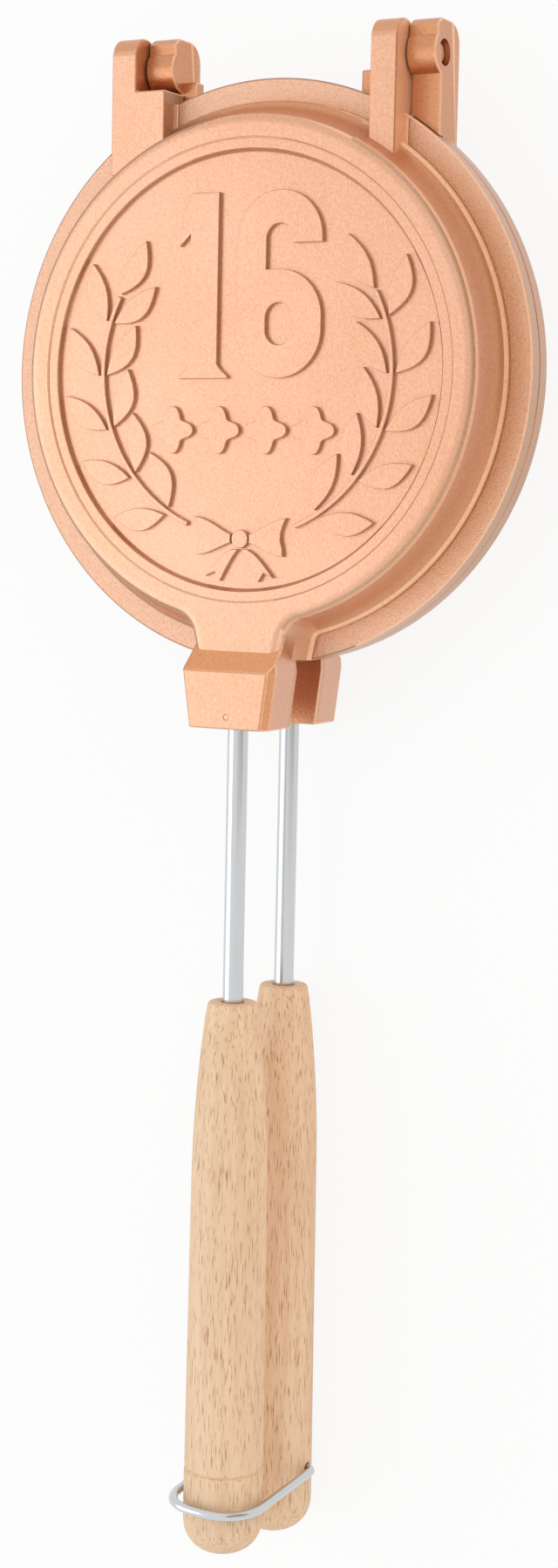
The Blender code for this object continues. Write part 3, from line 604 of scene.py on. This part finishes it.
def recessTool():
    # The sunk disc and the step round it, with small edges as (across, up)
    c = casting
    disc, step = c["discRadius"], c["stepRadius"]
    discFloor, stepFloor = c["face"] - c["discDepth"], c["face"] - c["stepDepth"]
    foot, edge, outerFoot, outerEdge = c["discFoot"], c["discEdge"], c["stepFoot"], c["stepEdge"]
    wide, high = c["clearOfFace"]
    return spinProfile("recessTool", [
        (0, discFloor), (disc - c["wallDraft"] - foot[0], discFloor),
        (disc - c["wallDraft"], discFloor + foot[1]),
        (disc - edge[0], stepFloor - edge[1]), (disc + edge[0], stepFloor),
        (step - outerFoot[0], stepFloor), (step - outerEdge[0], stepFloor + outerFoot[1]),
        (step + outerEdge[0], c["face"] - outerEdge[1]), (step + wide, c["face"] + high),
        (0, c["face"] + high)], c["ringSteps"])


def cavityTool():
    c = cavity
    floor, plate = c["floor"], c["plateRadius"]
    rim = c["radius"] + c["rimEdge"]
    start = [(0, c["below"]), (rim, c["below"]), (rim, casting["gap"] - c["under"]),
             (c["radius"], casting["gap"] + c["rimEdge"])]
    corner = arcPoints(c["floorRadius"] - c["round"], floor - c["round"], c["round"], 10, 90, 6)
    end = [(plate + c["plateStep"], floor), (plate, floor - c["plateStep"]), (0, floor - c["plateStep"])]
    return spinProfile("cavityTool", start + corner + end)


def beadRing(clearance, name):
    c = cavity
    half, depth = c["beadWidth"] / 2 + clearance, c["beadHeight"] + clearance
    r, root, gap = c["beadRadius"], c["beadRoot"], casting["gap"]
    points = [(r - half, root), (r - half, -gap), (r - half * c["beadTop"], -depth),
              (r + half * c["beadTop"], -depth), (r + half, -gap), (r + half, root)]
    return spinProfile(name, points + points[:1])


def addSocket(obj):
    # The block, with the rod's bore from its end and the pin's bore from its front
    n = neck
    unite(obj, socketBlock())
    rod = newBar("rodHole", n["rodHole"], 0, 30)
    turnTo(rod, (0, 0, -quarter), (0, n["blockEnd"] + n["rodHoleDepth"], n["rodHeight"]))
    pin = newBar("pinHole", n["pinHole"], 0, 12, verts=32)
    turnTo(pin, (0, -quarter, 0), (0, n["blockEnd"] + n["pinFromEnd"], n["pinHoleStart"]))
    cutOut(obj, rod, pin)


def upperArm(name, x, inner):
    # The left arm starts wide and loses the notch that the lug turns in
    h = hinge
    obj = newBox(name, (x, h["root"], casting["gap"]), (inner, h["armTop"], h["armFace"]))
    y, z, r = h["armTop"] - h["armRound"], h["armFace"] - h["armRound"], h["armRound"]
    lean = math.degrees(math.atan2(h["y"] - y, z))
    roundCorner(obj, y, z, r, lean, h["armRoundEnd"], 14)
    outer = x + h["armWidth"]
    if inner > outer:
        cutOut(obj, newBox("notch", (outer, h["shelfY"], -20), (inner + 10, 100, 20)))
    softenEdges(obj, h["edge"], clamp=False)
    eye = newBar("eye", h["eye"], x, outer, h["y"], verts=72)
    softenEdges(eye, h["edge"])
    unite(obj, eye)
    cutOut(obj, newBar("bore", h["bore"], x + h["blindWall"], outer + 2, h["y"]))
    return obj


def sidePlate(name, outline, start, end, edge):
    # An outline of (y, z) becomes a plate along X with soft edges
    obj = flatShape(name, [outline], 0, end - start, edge)
    turnTo(obj, (quarter, 0, quarter), (start, 0, 0))
    return obj


def lugOutline(front):
    # From the front over the eye and the sloping crest round the back, as points of (y, z)
    h, under = hinge, -casting["gap"]
    facetY = h["y"] + math.sqrt(h["eye"] ** 2 - h["facet"] ** 2)
    facetAngle = math.degrees(math.atan2(h["facet"], facetY - h["y"]))
    outline = [(h["root"], under)]
    if front > 0:
        outline += [(h["frontFoot"], under), (h["frontFoot"], front)]
    eyeStart = 180 - math.degrees(math.asin((front if front > 0 else under) / h["eye"]))
    outline += arcPoints(h["y"], 0, h["eye"], eyeStart, facetAngle, 28)
    crest = h["facet"] - h["crestZ"]
    inward, upward = h["crestMiddle"]
    outline += [(h["lugTop"] - h["crestY"], h["facet"]), (h["lugTop"] - inward, crest + upward),
                (h["lugTop"], crest - h["crestEnd"])]
    outline += arcPoints(h["lugTop"] - h["lugRound"], h["lugBack"] + h["lugRound"], h["lugRound"], 0, -90, 14)
    return outline + [(h["root"], h["lugBack"])]


def lowerLug(name, x, front, through):
    h = hinge
    end = x + h["lugWidth"]
    obj = sidePlate(name, lugOutline(front), x, end, h["edge"])
    # Its front foot follows the edge of the upper flange
    edge, under = casting["flangeRadius"] + h["footClear"], -casting["gap"]
    foot = spinProfile("lugFoot", [(0, under), (edge, under), (edge, 8), (0, 8)], h["lugSteps"])
    cutOut(obj, foot, newBar("bore", h["bore"], x - 2, end + 2 if through else end - h["blindWall"], h["y"]))
    return obj


def lipBeside(wall):
    # A raised lip on the flange beside an arm
    h = hinge
    end = wall + h["lipWidth"]
    reach = math.sqrt(casting["flangeRadius"] ** 2 - end ** 2) - h["lipInto"]
    obj = newBox("armLip", (wall - h["lipInto"], h["root"], h["lipFoot"]), (end, reach, h["lipTop"]))
    softenEdges(obj, h["lipEdge"])
    return obj


lipWalls = (hinge["shelfX"], hinge["rightArm"] + hinge["armWidth"])
# Where each coat lies: limits of a face's place, of its distance from an edge and of its normal
zone = {
    "flat": 0.95, "upright": 0.6, "level": 0.05, "atFlange": 0.1, "panelRadius": 60.0, "recessPast": 0.4,
    "atShoulder": 0.15, "footDown": 0.7, "shoulderIn": 1.0, "shoulderDown": 0.8, "shoulderUp": 0.1,
    "rightAbove": 0.455, "rightBelow": 0.2, "rimRight": 2.0, "rimLeft": 1.15, "rimIn": 0.5,
    "bandIn": 1.3, "bandLow": 0.85, "bandHigh": 0.3,
    "coveTurn": (0.02, 0.97), "coveRadius": 60.0, "coveY": -72.0,
    "edgeRadius": 74.0, "edgeHeight": 9.0, "edgeWide": 0.3, "edgeTurn": 0.99,
    "lipHigh": 5.5, "lipY": 55.0, "lipRadius": 73.0, "lipTurn": 0.8,
    "lit": 0.2, "shaded": -0.1, "slopeTurn": (0.3, 0.95), "slopeLeft": -0.3,
}


def isEdge(obj, face):
    # A long narrow face that lies slanting is the rounding of an edge
    corners = [obj.data.vertices[i].co for i in face.vertices]
    longest = max((a - b).length for a, b in zip(corners, corners[1:] + corners[:1]))
    slanting = max(abs(value) for value in face.normal) < zone["edgeTurn"]
    return slanting and face.area / longest < zone["edgeWide"]


def isLip(x, y, height, radius):
    beside = any(wall < x < wall + hinge["lipWidth"] + zone["level"] for wall in lipWalls)
    raised = casting["flangeTop"] + zone["level"] < height < zone["lipHigh"]
    return beside and raised and y > zone["lipY"] and radius < zone["lipRadius"]


def coatOf(obj, face, side):
    # Flange: cast grain with painted sheen; short walls, outer wall, cove and slope: painted shade; edges:
    # painted highlights and shade by facing
    c, z = casting, zone
    x, y, height = face.center.x, face.center.y, face.center.z * side
    across, up, radius = face.normal.x, face.normal.z * side, math.hypot(x, y)
    flat, upright = up > z["flat"], abs(up) < z["upright"]
    onRight = x > z["rightAbove" if y > 0 else "rightBelow"] * radius
    shoulderLow, shoulderHigh = c["shoulderTop"] - z["shoulderDown"], c["shoulderTop"] + z["shoulderUp"]
    rimLow = c["face"] - z["rimRight" if onRight else "rimLeft"]
    bandLow, bandHigh = c["face"] - z["bandLow"], c["face"] - z["bandHigh"]

    if flat and abs(height - c["flangeTop"]) < z["level"] and radius > z["panelRadius"]:
        return "grain"
    inRecess = height > c["face"] - c["discDepth"] and radius < c["stepRadius"] + z["recessPast"]
    atFoot = c["flangeTop"] < height < c["shoulderTop"] - z["footDown"] \
        and abs(radius - c["shoulderRadius"]) < z["atShoulder"]
    if upright and (inRecess or atFoot):
        return "wall"
    if upright and abs(radius - c["flangeRadius"]) < z["atFlange"]:
        return "outer"
    if isLip(x, y, height, radius):
        return "dark" if across > z["lipTurn"] else "bright"
    turnLow, turnHigh = z["coveTurn"]
    onCove = radius > z["coveRadius"] and y > z["coveY"] and shoulderHigh < height < rimLow
    if onCove and turnLow < up < turnHigh:
        return "cove"
    atShoulder = radius > c["shoulderRadius"] - z["shoulderIn"] and shoulderLow < height < shoulderHigh
    if atShoulder and onRight:
        return "bright"
    if onRight and radius > c["faceRadius"] - z["bandIn"] and bandLow < height < bandHigh:
        return "wall"
    chamferIn = c["flangeRadius"] - c["chamferWide"]
    chamfer = radius > chamferIn and abs(height - c["flangeTop"]) < c["chamferDeep"]
    rimFoot = radius > c["faceRadius"] - z["rimIn"] and rimLow < height < bandLow
    outside = radius > z["edgeRadius"] or y < z["coveY"] or height > z["edgeHeight"]
    if not flat and (chamfer or atShoulder or rimFoot or outside and isEdge(obj, face)):
        if across > z["lit"]:
            return "bright"
        return "dark" if across < z["shaded"] or chamfer else "smooth"
    turnLow, turnHigh = z["slopeTurn"]
    onSlope = y < neck["slopeStart"] and turnLow < up < turnHigh and across > z["slopeLeft"]
    return "slope" if onSlope else "smooth"


def coatMould(obj, side):
    giveMaterials(obj, *mouldCoats.values())
    names = list(mouldCoats)
    for face in obj.data.polygons:
        face.material_index = names.index(coatOf(obj, face, side))


# The relief's steep walls get painted shade
def coatRelief(obj):
    giveMaterials(obj, mouldCoats["smooth"], mouldCoats["wall"])
    for face in obj.data.polygons:
        face.material_index = int(abs(face.normal.z) < zone["upright"])


def flatShape(name, loops, base, height, edge):
    # A raised plate with soft edges, drawn as a filled curve
    curve = bpy.data.curves.new(name, "CURVE")
    curve.dimensions = "2D"
    curve.fill_mode = "BOTH"
    for loop in loops:
        addLine(curve, [(x, y, 0) for x, y in loop], True)
    curve.offset = -edge
    curve.bevel_depth = edge
    curve.bevel_resolution = 2
    curve.extrude = (height - 2 * edge) / 2
    return curveToMesh(name, curve, (0, 0, base + height / 2))


# Numerals, a row of lobed shapes and a tied wreath, all raised from the disc
ornament = {
    "floor": 14.1, "root": 0.6, "height": 1.2, "edge": 0.22,
    "numeralBase": -1.5, "numeralHeight": 45.4, "oneLeft": -18.4, "oneWidth": 14.0, "sixLeft": -2.0,
    "sixWidth": 23.4, "sixWaist": 0.58, "stroke": 8.0, "serif": 3.0, "serifEdge": 0.6, "serifIn": 0.8,
    "motifs": 4, "motifSpacing": 13.2, "motifRadius": 5.9,
    "motifY": -14.2, "motifLobes": 4, "motifDepth": 0.2,
    "wreathRadius": 40.5, "wreathStart": 22.0, "wreathEnd": 118.0, "leafPairs": 5, "tipTurn": 1.0,
    "leafLength": 15.0, "leafWidth": 5.8, "leafSpread": 35.0, "leafBend": 0.9, "leafOut": 0.6, "stem": 1.1,
    "bowY": -41.0, "bowLength": 13.0, "bowWidth": 9.2, "knotGap": 0.3, "loopRise": 0.8, "loopHollow": 1.6,
    "tailOuter": (0.74, 1.0, 1.35), "tailInner": (0.42, 1.12, 1.2), "tailNotch": (0.53, 0.9), "tailGap": 0.4,
}


def numeralOne():
    # Serifs at the foot and a flag at the top left
    o = ornament
    s, edge, inward = o["serif"], o["serifEdge"], o["serifIn"]
    left, right, base = o["oneLeft"], o["oneLeft"] + o["oneWidth"], o["numeralBase"]
    top = base + o["numeralHeight"]
    stemLeft = left + (o["oneWidth"] - o["stroke"]) / 2
    stemRight = stemLeft + o["stroke"]
    rightSide = [(right, base), (right, base + edge), (stemRight + inward, base + s * 0.8),
                 (stemRight, base + s * 1.2), (stemRight, top)]
    flag = [(stemLeft + 0.3, top), (left + 0.9, top - 1.6 * s), (left, top - 3.6 * s), (left, top - 4.3 * s),
            (stemLeft, top - 3.3 * s)]
    leftSide = [(stemLeft, base + s * 1.2), (stemLeft - inward, base + s * 0.8), (left, base + edge)]
    return [[(left, base)] + rightSide + flag + leftSide]


def numeralSix():
    o = ornament
    left, radius = o["sixLeft"], o["sixWidth"] / 2
    centre, inner = left + radius, radius - o["stroke"]
    base = o["numeralBase"] + radius
    top = o["numeralBase"] + o["numeralHeight"] - radius
    waist = o["numeralBase"] + o["sixWaist"] * o["numeralHeight"]
    hook = top - 0.1 * radius
    outer = (arcPoints(centre, top, radius, 0, 180, 32)
             + arcPoints(centre, base, radius, 180, 360, 32)
             + arcPoints(centre, waist - radius, radius, 0, 90, 14)
             + [(centre - inner, waist)]
             + arcPoints(centre, top, inner, 180, 0, 18)
             + [(centre + inner, hook), (centre + radius, hook)])
    bowlTop = waist - o["stroke"] - inner
    bowl = arcPoints(centre, bowlTop, inner, 0, 180, 18) + arcPoints(centre, base, inner, 180, 360, 18)
    return [outer, bowl]


def lobedShape(x):
    o, steps = ornament, 64
    points = []
    for i in range(steps):
        angle = 2 * math.pi * i / steps
        lobe = 1 - o["motifDepth"] + o["motifDepth"] * math.cos(o["motifLobes"] * angle)
        reach = o["motifRadius"] * lobe
        points.append((x + reach * math.sin(angle), o["motifY"] + reach * math.cos(angle)))
    return [points]


def leafShape(x, y, heading, bend):
    # A pointed leaf whose midline bends a little
    o, steps = ornament, 14
    near, far = [], []
    for i in range(steps + 1):
        t = i / steps
        along = t * o["leafLength"]
        middle = bend * math.sin(math.pi * t) * o["leafBend"]
        half = o["leafWidth"] / 2 * math.sin(math.pi * t) ** 0.95 if 0 < i < steps else 0.0
        near.append((along, middle + half))
        far.append((along, middle - half))
    c, s = math.cos(heading), math.sin(heading)
    return [[(x + a * c - b * s, y + a * s + b * c) for a, b in near + far[-2:0:-1]]]


def wreathBranch(side):
    o, steps = ornament, 48
    start, span = o["wreathStart"], o["wreathEnd"] - o["wreathStart"]

    def onBranch(angle, reach):
        return side * reach * math.sin(angle), -reach * math.cos(angle)

    def leafAt(angle, reach, along, bend):
        return leafShape(*onBranch(angle, reach), along if side > 0 else math.pi - along, bend)

    angles = [math.radians(start + span * i / steps) for i in range(steps + 1)]
    near, far = ([onBranch(angle, o["wreathRadius"] + edge * o["stem"] / 2) for angle in angles]
                 for edge in (-1, 1))
    shapes = [[near + far[::-1]]]
    for i in range(o["leafPairs"]):
        angle = math.radians(start + span * (i + 0.5) / o["leafPairs"])
        for spread in (-1, 1):
            reach = o["wreathRadius"] - spread * (o["stem"] / 2 + o["leafOut"])
            along = angle + math.radians(o["leafSpread"]) * spread
            shapes.append(leafAt(angle, reach, along, side * spread))
    tip = math.radians(o["wreathEnd"] + o["tipTurn"])
    shapes.append(leafAt(tip, o["wreathRadius"], tip, side))
    return shapes


def bowLoop(side, knot, y):
    # A ribbon loop that widens outwards and ends in a hollow curve
    o, steps = ornament, 10
    length, half, start = o["bowLength"], o["bowWidth"] / 2, knot + o["knotGap"]
    top, bottom = [], []
    for i in range(steps + 1):
        t = i / steps
        reach = start + (length - start) * t
        spread = knot / 2 + (half - knot / 2) * math.sin(quarter * t) ** 1.3
        top.append((side * reach, y + spread + o["loopRise"] * t))
        bottom.append((side * reach * (1 - 0.06 * t), y - spread * 0.9))
    end = [(side * (length - o["loopHollow"] * math.sin(math.pi * t)),
            top[-1][1] + (bottom[-1][1] - top[-1][1]) * t) for t in (0.2, 0.4, 0.6, 0.8)]
    return [top + end + bottom[::-1]]


def bowTail(side, knot, y):
    # A ribbon end that bends outwards to a notch; each edge is its reach, its drop and its bend
    o = ornament
    length, width, top = o["bowLength"], o["bowWidth"], y - knot - o["knotGap"]
    times = (0, 0.25, 0.5, 0.75, 1)

    def edge(start, shares):
        reach, drop, bend = shares
        return [(side * (start + (length * reach - start) * t), top - (width * drop - knot) * t ** bend)
                for t in times]

    notchReach, notchDrop = o["tailNotch"]
    notch = (side * length * notchReach, y - width * notchDrop)
    return [edge(knot, o["tailOuter"]) + [notch] + edge(o["tailGap"], o["tailInner"])[::-1]]


def bowShapes():
    y, knot = ornament["bowY"], ornament["bowWidth"] / 4
    shapes = [[arcPoints(0, y, knot, 0, 345, 23)]]
    for side in (-1, 1):
        shapes += [bowLoop(side, knot, y), bowTail(side, knot, y)]
    return shapes


def ornamentRelief():
    o = ornament
    shapes = [numeralOne(), numeralSix()]
    shapes += [lobedShape((i - (o["motifs"] - 1) / 2) * o["motifSpacing"]) for i in range(o["motifs"])]
    shapes += wreathBranch(-1) + wreathBranch(1) + bowShapes()
    plates = [flatShape("relief", loops, o["floor"] - o["root"], o["root"] + o["height"], o["edge"])
              for loops in shapes]
    joinInto(plates[0], plates[1:])
    return plates[0]


def upperMould():
    h = hinge
    obj = flangeRing("upperMould")
    unite(obj, raisedBody(), *map(lipBeside, lipWalls), upperArm("leftArm", h["leftArm"], h["shelfX"]),
          upperArm("rightArm", h["rightArm"], h["rightArm"] + h["armWidth"]))
    addSocket(obj)
    cutOut(obj, recessTool(), cavityTool())
    unite(obj, beadRing(0, "bead"))
    coatMould(obj, 1)
    smoothShading(obj, 32)
    relief = ornamentRelief()
    coatRelief(relief)
    smoothShading(relief, 40)
    joinInto(obj, [relief])
    putInPlace(obj, "upper", "upper_mould")
    print("upper mould done", len(obj.data.polygons))


def stopBlock(x):
    h = hinge
    obj = newBox("stop", (x, h["stopFoot"], h["stopLow"]),
                 (x + h["stopOut"] - h["stopIn"], h["stopTop"], -h["play"]))
    softenEdges(obj, h["edge"])
    return obj


def lowerMould():
    h = hinge
    obj = flangeRing("lowerMould")
    unite(obj, raisedBody())
    addSocket(obj)
    cutOut(obj, recessTool())
    flipDown(obj)
    unite(obj, lowerLug("leftLug", h["leftArm"] + h["armWidth"] + h["play"], 0, False),
          lowerLug("rightLug", h["rightArm"] + h["armWidth"] + h["play"], h["front"], True),
          stopBlock(-h["stopOut"]), stopBlock(h["stopIn"]))
    inside = cavityTool()
    flipDown(inside)
    cutOut(obj, inside, beadRing(h["play"], "beadGroove"))
    coatMould(obj, -1)
    smoothShading(obj, 32)
    putInPlace(obj, "lower", "lower_mould")
    print("lower mould done", len(obj.data.polygons))


upperMould()
lowerMould()


handle = {
    "rodRadius": 2.6, "rodStart": -73.3, "rodEnd": -190.3, "rodEdge": 0.5, "height": 14.0,
    "gripStart": -158.3, "upperLength": 145.6, "lowerLength": 149.8,
    "startRadius": 6.4, "waistRadius": 9.6, "radius": 10.4, "swell": 46.0, "endRound": 9.5,
    "endSquare": 2.3, "edge": 0.8, "boreDepth": 33.0, "boreClear": 0.3,
    "grooveFromEnd": 22.7, "grooveWidth": 1.4, "grooveDepth": 0.7, "ringHole": 1.5,
    "pinRadius": 0.75, "pinY": -85.2, "pinLow": 9.1, "pinHigh": (20.35, 20.42),
}


def gripRadius(distance, length):
    g = handle
    swell = 1 - (1 - min(distance / g["swell"], 1)) ** 2
    slow = max(0.0, (distance - g["swell"] / 2) / (length - g["swell"] / 2))
    return (g["startRadius"] + (g["waistRadius"] - g["startRadius"]) * swell
            + (g["radius"] - g["waistRadius"]) * min(1.0, 1.1 * slow))


def gripProfile(length, grooved):
    # The rod's bore, the swelling side and the round end, as points of (radius, distance)
    g = handle
    r, depth = g["radius"], g["boreDepth"]
    groove = length - g["grooveFromEnd"]
    bore = g["rodRadius"] + g["boreClear"]
    points = [(0, depth), (bore, depth), (bore, g["boreClear"]), (bore + g["boreClear"], 0.0)]
    points += arcPoints(g["startRadius"] - g["edge"], g["edge"], g["edge"], -90, -10, 4)
    sideSteps, endSteps = 40, 24
    for i in range(1, sideSteps + 1):
        distance = g["edge"] + (groove - g["grooveWidth"] - g["edge"]) * i / sideSteps
        points.append((gripRadius(distance, length), distance))
    if grooved:
        points += [(r - 0.15, groove - 0.75), (r - g["grooveDepth"], groove),
                   (r - 0.05, groove + 0.7), (r, groove + 0.9)]
    for i in range(endSteps + 1):
        angle = quarter * i / endSteps
        across = max(math.cos(angle), 0.0) ** (2 / g["endSquare"])
        along = math.sin(angle) ** (2 / g["endSquare"])
        points.append((r * across, length - g["endRound"] + g["endRound"] * along))
    return points


def makeGrip(body, side):
    # The upper grip has a groove, the lower one has the ring's hole
    lower, height = side < 0, side * handle["height"]
    obj = spinProfile(body + "Grip", gripProfile(handle[body + "Length"], not lower), 96)
    turnTo(obj, (quarter, 0, 0), (0, handle["gripStart"], height))
    if lower:
        cutOut(obj, newBar("ringHole", handle["ringHole"], -15, 15, ring["y"], height, 40))
    finishPart(obj, beech, body, body + "_grip")


def rodProfile(radius, length, edge):
    return [(0, 0), (radius - edge, 0), (radius, edge), (radius, length - edge), (radius - edge, length)]


def makeRod(body, side):
    length = handle["rodStart"] - handle["rodEnd"]
    profile = rodProfile(handle["rodRadius"], length, handle["rodEdge"]) + [(0, length)]
    obj = spinProfile(body + "Rod", profile, 64)
    turnTo(obj, (quarter, 0, 0), (0, handle["rodStart"], side * handle["height"]))
    finishPart(obj, brightSteel, body, body + "_rod")


def makeSocketPin(body, side):
    r, low, (shoulder, top) = handle["pinRadius"], handle["pinLow"], handle["pinHigh"]
    obj = spinProfile(body + "SocketPin", [(0, low), (r, low), (r, shoulder), (r - 0.1, top), (0, top)], 32)
    if side < 0:
        flipDown(obj)
    turnTo(obj, (0, 0, 0), (0, handle["pinY"], 0))
    finishPart(obj, pinMetal, body, body + "_socket_pin")


def makeHingePin(side):
    # Its seen end has a small dimple
    h = hinge
    length = h[side + "PinEnd"] - h["pinStart"]
    dimple, deep = h["pinDimple"]
    profile = rodProfile(h["pinRadius"], length, h["pinEdge"]) + [(dimple, length), (0, length - deep)]
    obj = spinProfile(side + "HingePin", profile, 48)
    turnTo(obj, (0, quarter, 0), (h[side + "Arm"] + h["pinStart"], h["y"], 0))
    finishPart(obj, pinMetal, "lower", side + "_hinge_pin")


ring = {"wire": 1.2, "y": -289.5, "half": 12.2, "corner": 2.6, "crown": 12.4, "square": 0.8, "endGap": 1.0}


def ringRoute():
    # Through the lower grip, up both sides and over the upper grip, as points of (x, z)
    reach, half, c, steps = 2 * handle["height"], ring["half"], ring["corner"], 32
    route = [(ring["endGap"] / 2, 0), (half - c - 1, 0)]
    route += arcPoints(half - c, c, c, -90, 0, 10)
    route += [(half, reach * t) for t in (0.3, 0.5, 0.7, 0.85)]
    for i in range(steps + 1):
        angle = quarter * i / steps
        across = max(math.cos(angle), 0.0) ** ring["square"]
        route.append((half * across, reach + ring["crown"] * math.sin(angle) ** ring["square"]))
    return route + [(-x, z) for x, z in reversed(route[:-1])]


def makeRing():
    curve = bpy.data.curves.new("latchRing", "CURVE")
    curve.dimensions = "3D"
    addLine(curve, [(x, 0, z) for x, z in ringRoute()], False)
    curve.bevel_depth = ring["wire"]
    curve.bevel_resolution = 6
    curve.use_fill_caps = True
    obj = curveToMesh("latchRing", curve, (0, ring["y"], -handle["height"]))
    giveMaterials(obj, brightSteel)
    smoothShading(obj, 40, False)
    putInPlace(obj, "latch", "latch_ring")


for makePart in (makeGrip, makeRod, makeSocketPin):
    makePart("upper", 1)
    makePart("lower", -1)
makeHingePin("left")
makeHingePin("right")
makeRing()
print("handles done")


studio = {
    "cameraPlace": (0.29005, 0.07798, 0.57003), "cameraRight": (0.88479, 0.02116, -0.46551),
    "cameraUp": (-0.07090, 0.99345, -0.08960), "lens": 55.47, "sensor": 36.0,
    "floorSize": 6.0, "floorColour": (0.86, 0.86, 0.86), "floorGlow": 0.88, "worldFill": (0.84, 0.84, 0.81),
    "key": {"place": (-1.2, -0.1, 1.1), "aim": (0, 0.05, 0.02), "size": 1.35, "power": 6.2,
            "colour": (0.94, 0.97, 1.02)},
    "warmFill": {"place": (1.2, 1.2, 0.45), "aim": (0, 0.1, 0.02), "size": 0.8, "power": 6.0,
                 "colour": (1.0, 0.6, 0.34), "glossy": False},
    "rightCard": {"place": (1.0, 0.9, 1.0), "turn": (0, -quarter, 0), "size": 2.0,
                  "shade": (0.55, 0.46, 0.36)},
}


def seenRays(tree):
    # 1 where the camera, a reflection or glass looks at the background, 0 for the light it gives
    rays = addNode(tree, "ShaderNodeLightPath", {}).outputs
    seen = addMath(tree, "MAXIMUM", rays["Is Camera Ray"], rays["Is Glossy Ray"])
    return addMath(tree, "MAXIMUM", seen, rays["Is Transmission Ray"])


def makeFloor():
    # The floor glows white where it is seen, and keeps a little of the object's shadow
    floor = newShape("floor", bpy.ops.mesh.primitive_plane_add, size=studio["floorSize"])
    material, tree, shader = newMaterial("pale floor")
    setInputs(shader, {"Base Color": (*studio["floorColour"], 1), "Roughness": 0.9,
                       "Specular IOR Level": 0.1})
    glow = addNode(tree, "ShaderNodeEmission", {"Strength": 1.0}).outputs["Emission"]
    share = addMath(tree, "MULTIPLY", seenRays(tree), studio["floorGlow"])
    mix = addNode(tree, "ShaderNodeMixShader", {"Fac": share, 1: shader.outputs["BSDF"], 2: glow})
    setInputs(tree.nodes["Material Output"], {"Surface": mix.outputs["Shader"]})
    giveMaterials(floor, material)


def addLamp(name, place, aim, size, power, colour, glossy=True):
    data = bpy.data.lights.new(name, "AREA")
    data.shape = "SQUARE"
    data.size = size
    data.energy = power
    data.color = colour
    lamp = bpy.data.objects.new(name, data)
    lamp.location = place
    lamp.rotation_euler = (Vector(aim) - Vector(place)).to_track_quat("-Z", "Y").to_euler()
    lamp.visible_glossy = glossy
    bpy.context.collection.objects.link(lamp)


def makeCard(name, place, turn, size, shade):
    # A pale card beside the object, seen only in its reflections
    card = newShape(name, bpy.ops.mesh.primitive_plane_add, size=size, location=place, rotation=turn)
    applyPlacement()
    material, tree, shader = newMaterial(name)
    setInputs(shader, {"Base Color": (0, 0, 0, 1), "Roughness": 1.0, "Specular IOR Level": 0.0,
                       "Emission Color": (*shade, 1), "Emission Strength": 1.0})
    giveMaterials(card, material)
    for rays in ("camera", "diffuse", "shadow", "transmission"):
        setattr(card, "visible_" + rays, False)


def makeWorld():
    world = bpy.data.worlds.new("studio")
    bpy.context.scene.world = world
    world.use_nodes = True
    tree = world.node_tree
    fill = addMix(tree, "RGBA", seenRays(tree), (*studio["worldFill"], 1), (1, 1, 1, 1))
    setInputs(tree.nodes["Background"], {"Color": fill})


def makeCamera():
    data = bpy.data.cameras.new("camera")
    data.lens = studio["lens"]
    data.sensor_width = data.sensor_height = studio["sensor"]
    data.sensor_fit = "VERTICAL"
    data.clip_start = 0.01
    camera = bpy.data.objects.new("camera", data)
    right, up = Vector(studio["cameraRight"]), Vector(studio["cameraUp"])
    back = right.cross(up).normalized()
    turn = Matrix((right, back.cross(right), back)).transposed().to_4x4()
    camera.matrix_world = Matrix.Translation(studio["cameraPlace"]) @ turn
    bpy.context.collection.objects.link(camera)
    bpy.context.scene.camera = camera


makeFloor()
makeWorld()
makeCamera()
makeCard("rightCard", **studio["rightCard"])
for lampName in ("key", "warmFill"):
    addLamp(lampName, **studio[lampName])
bpy.context.scene.view_settings.view_transform = "Standard"
print("studio done")
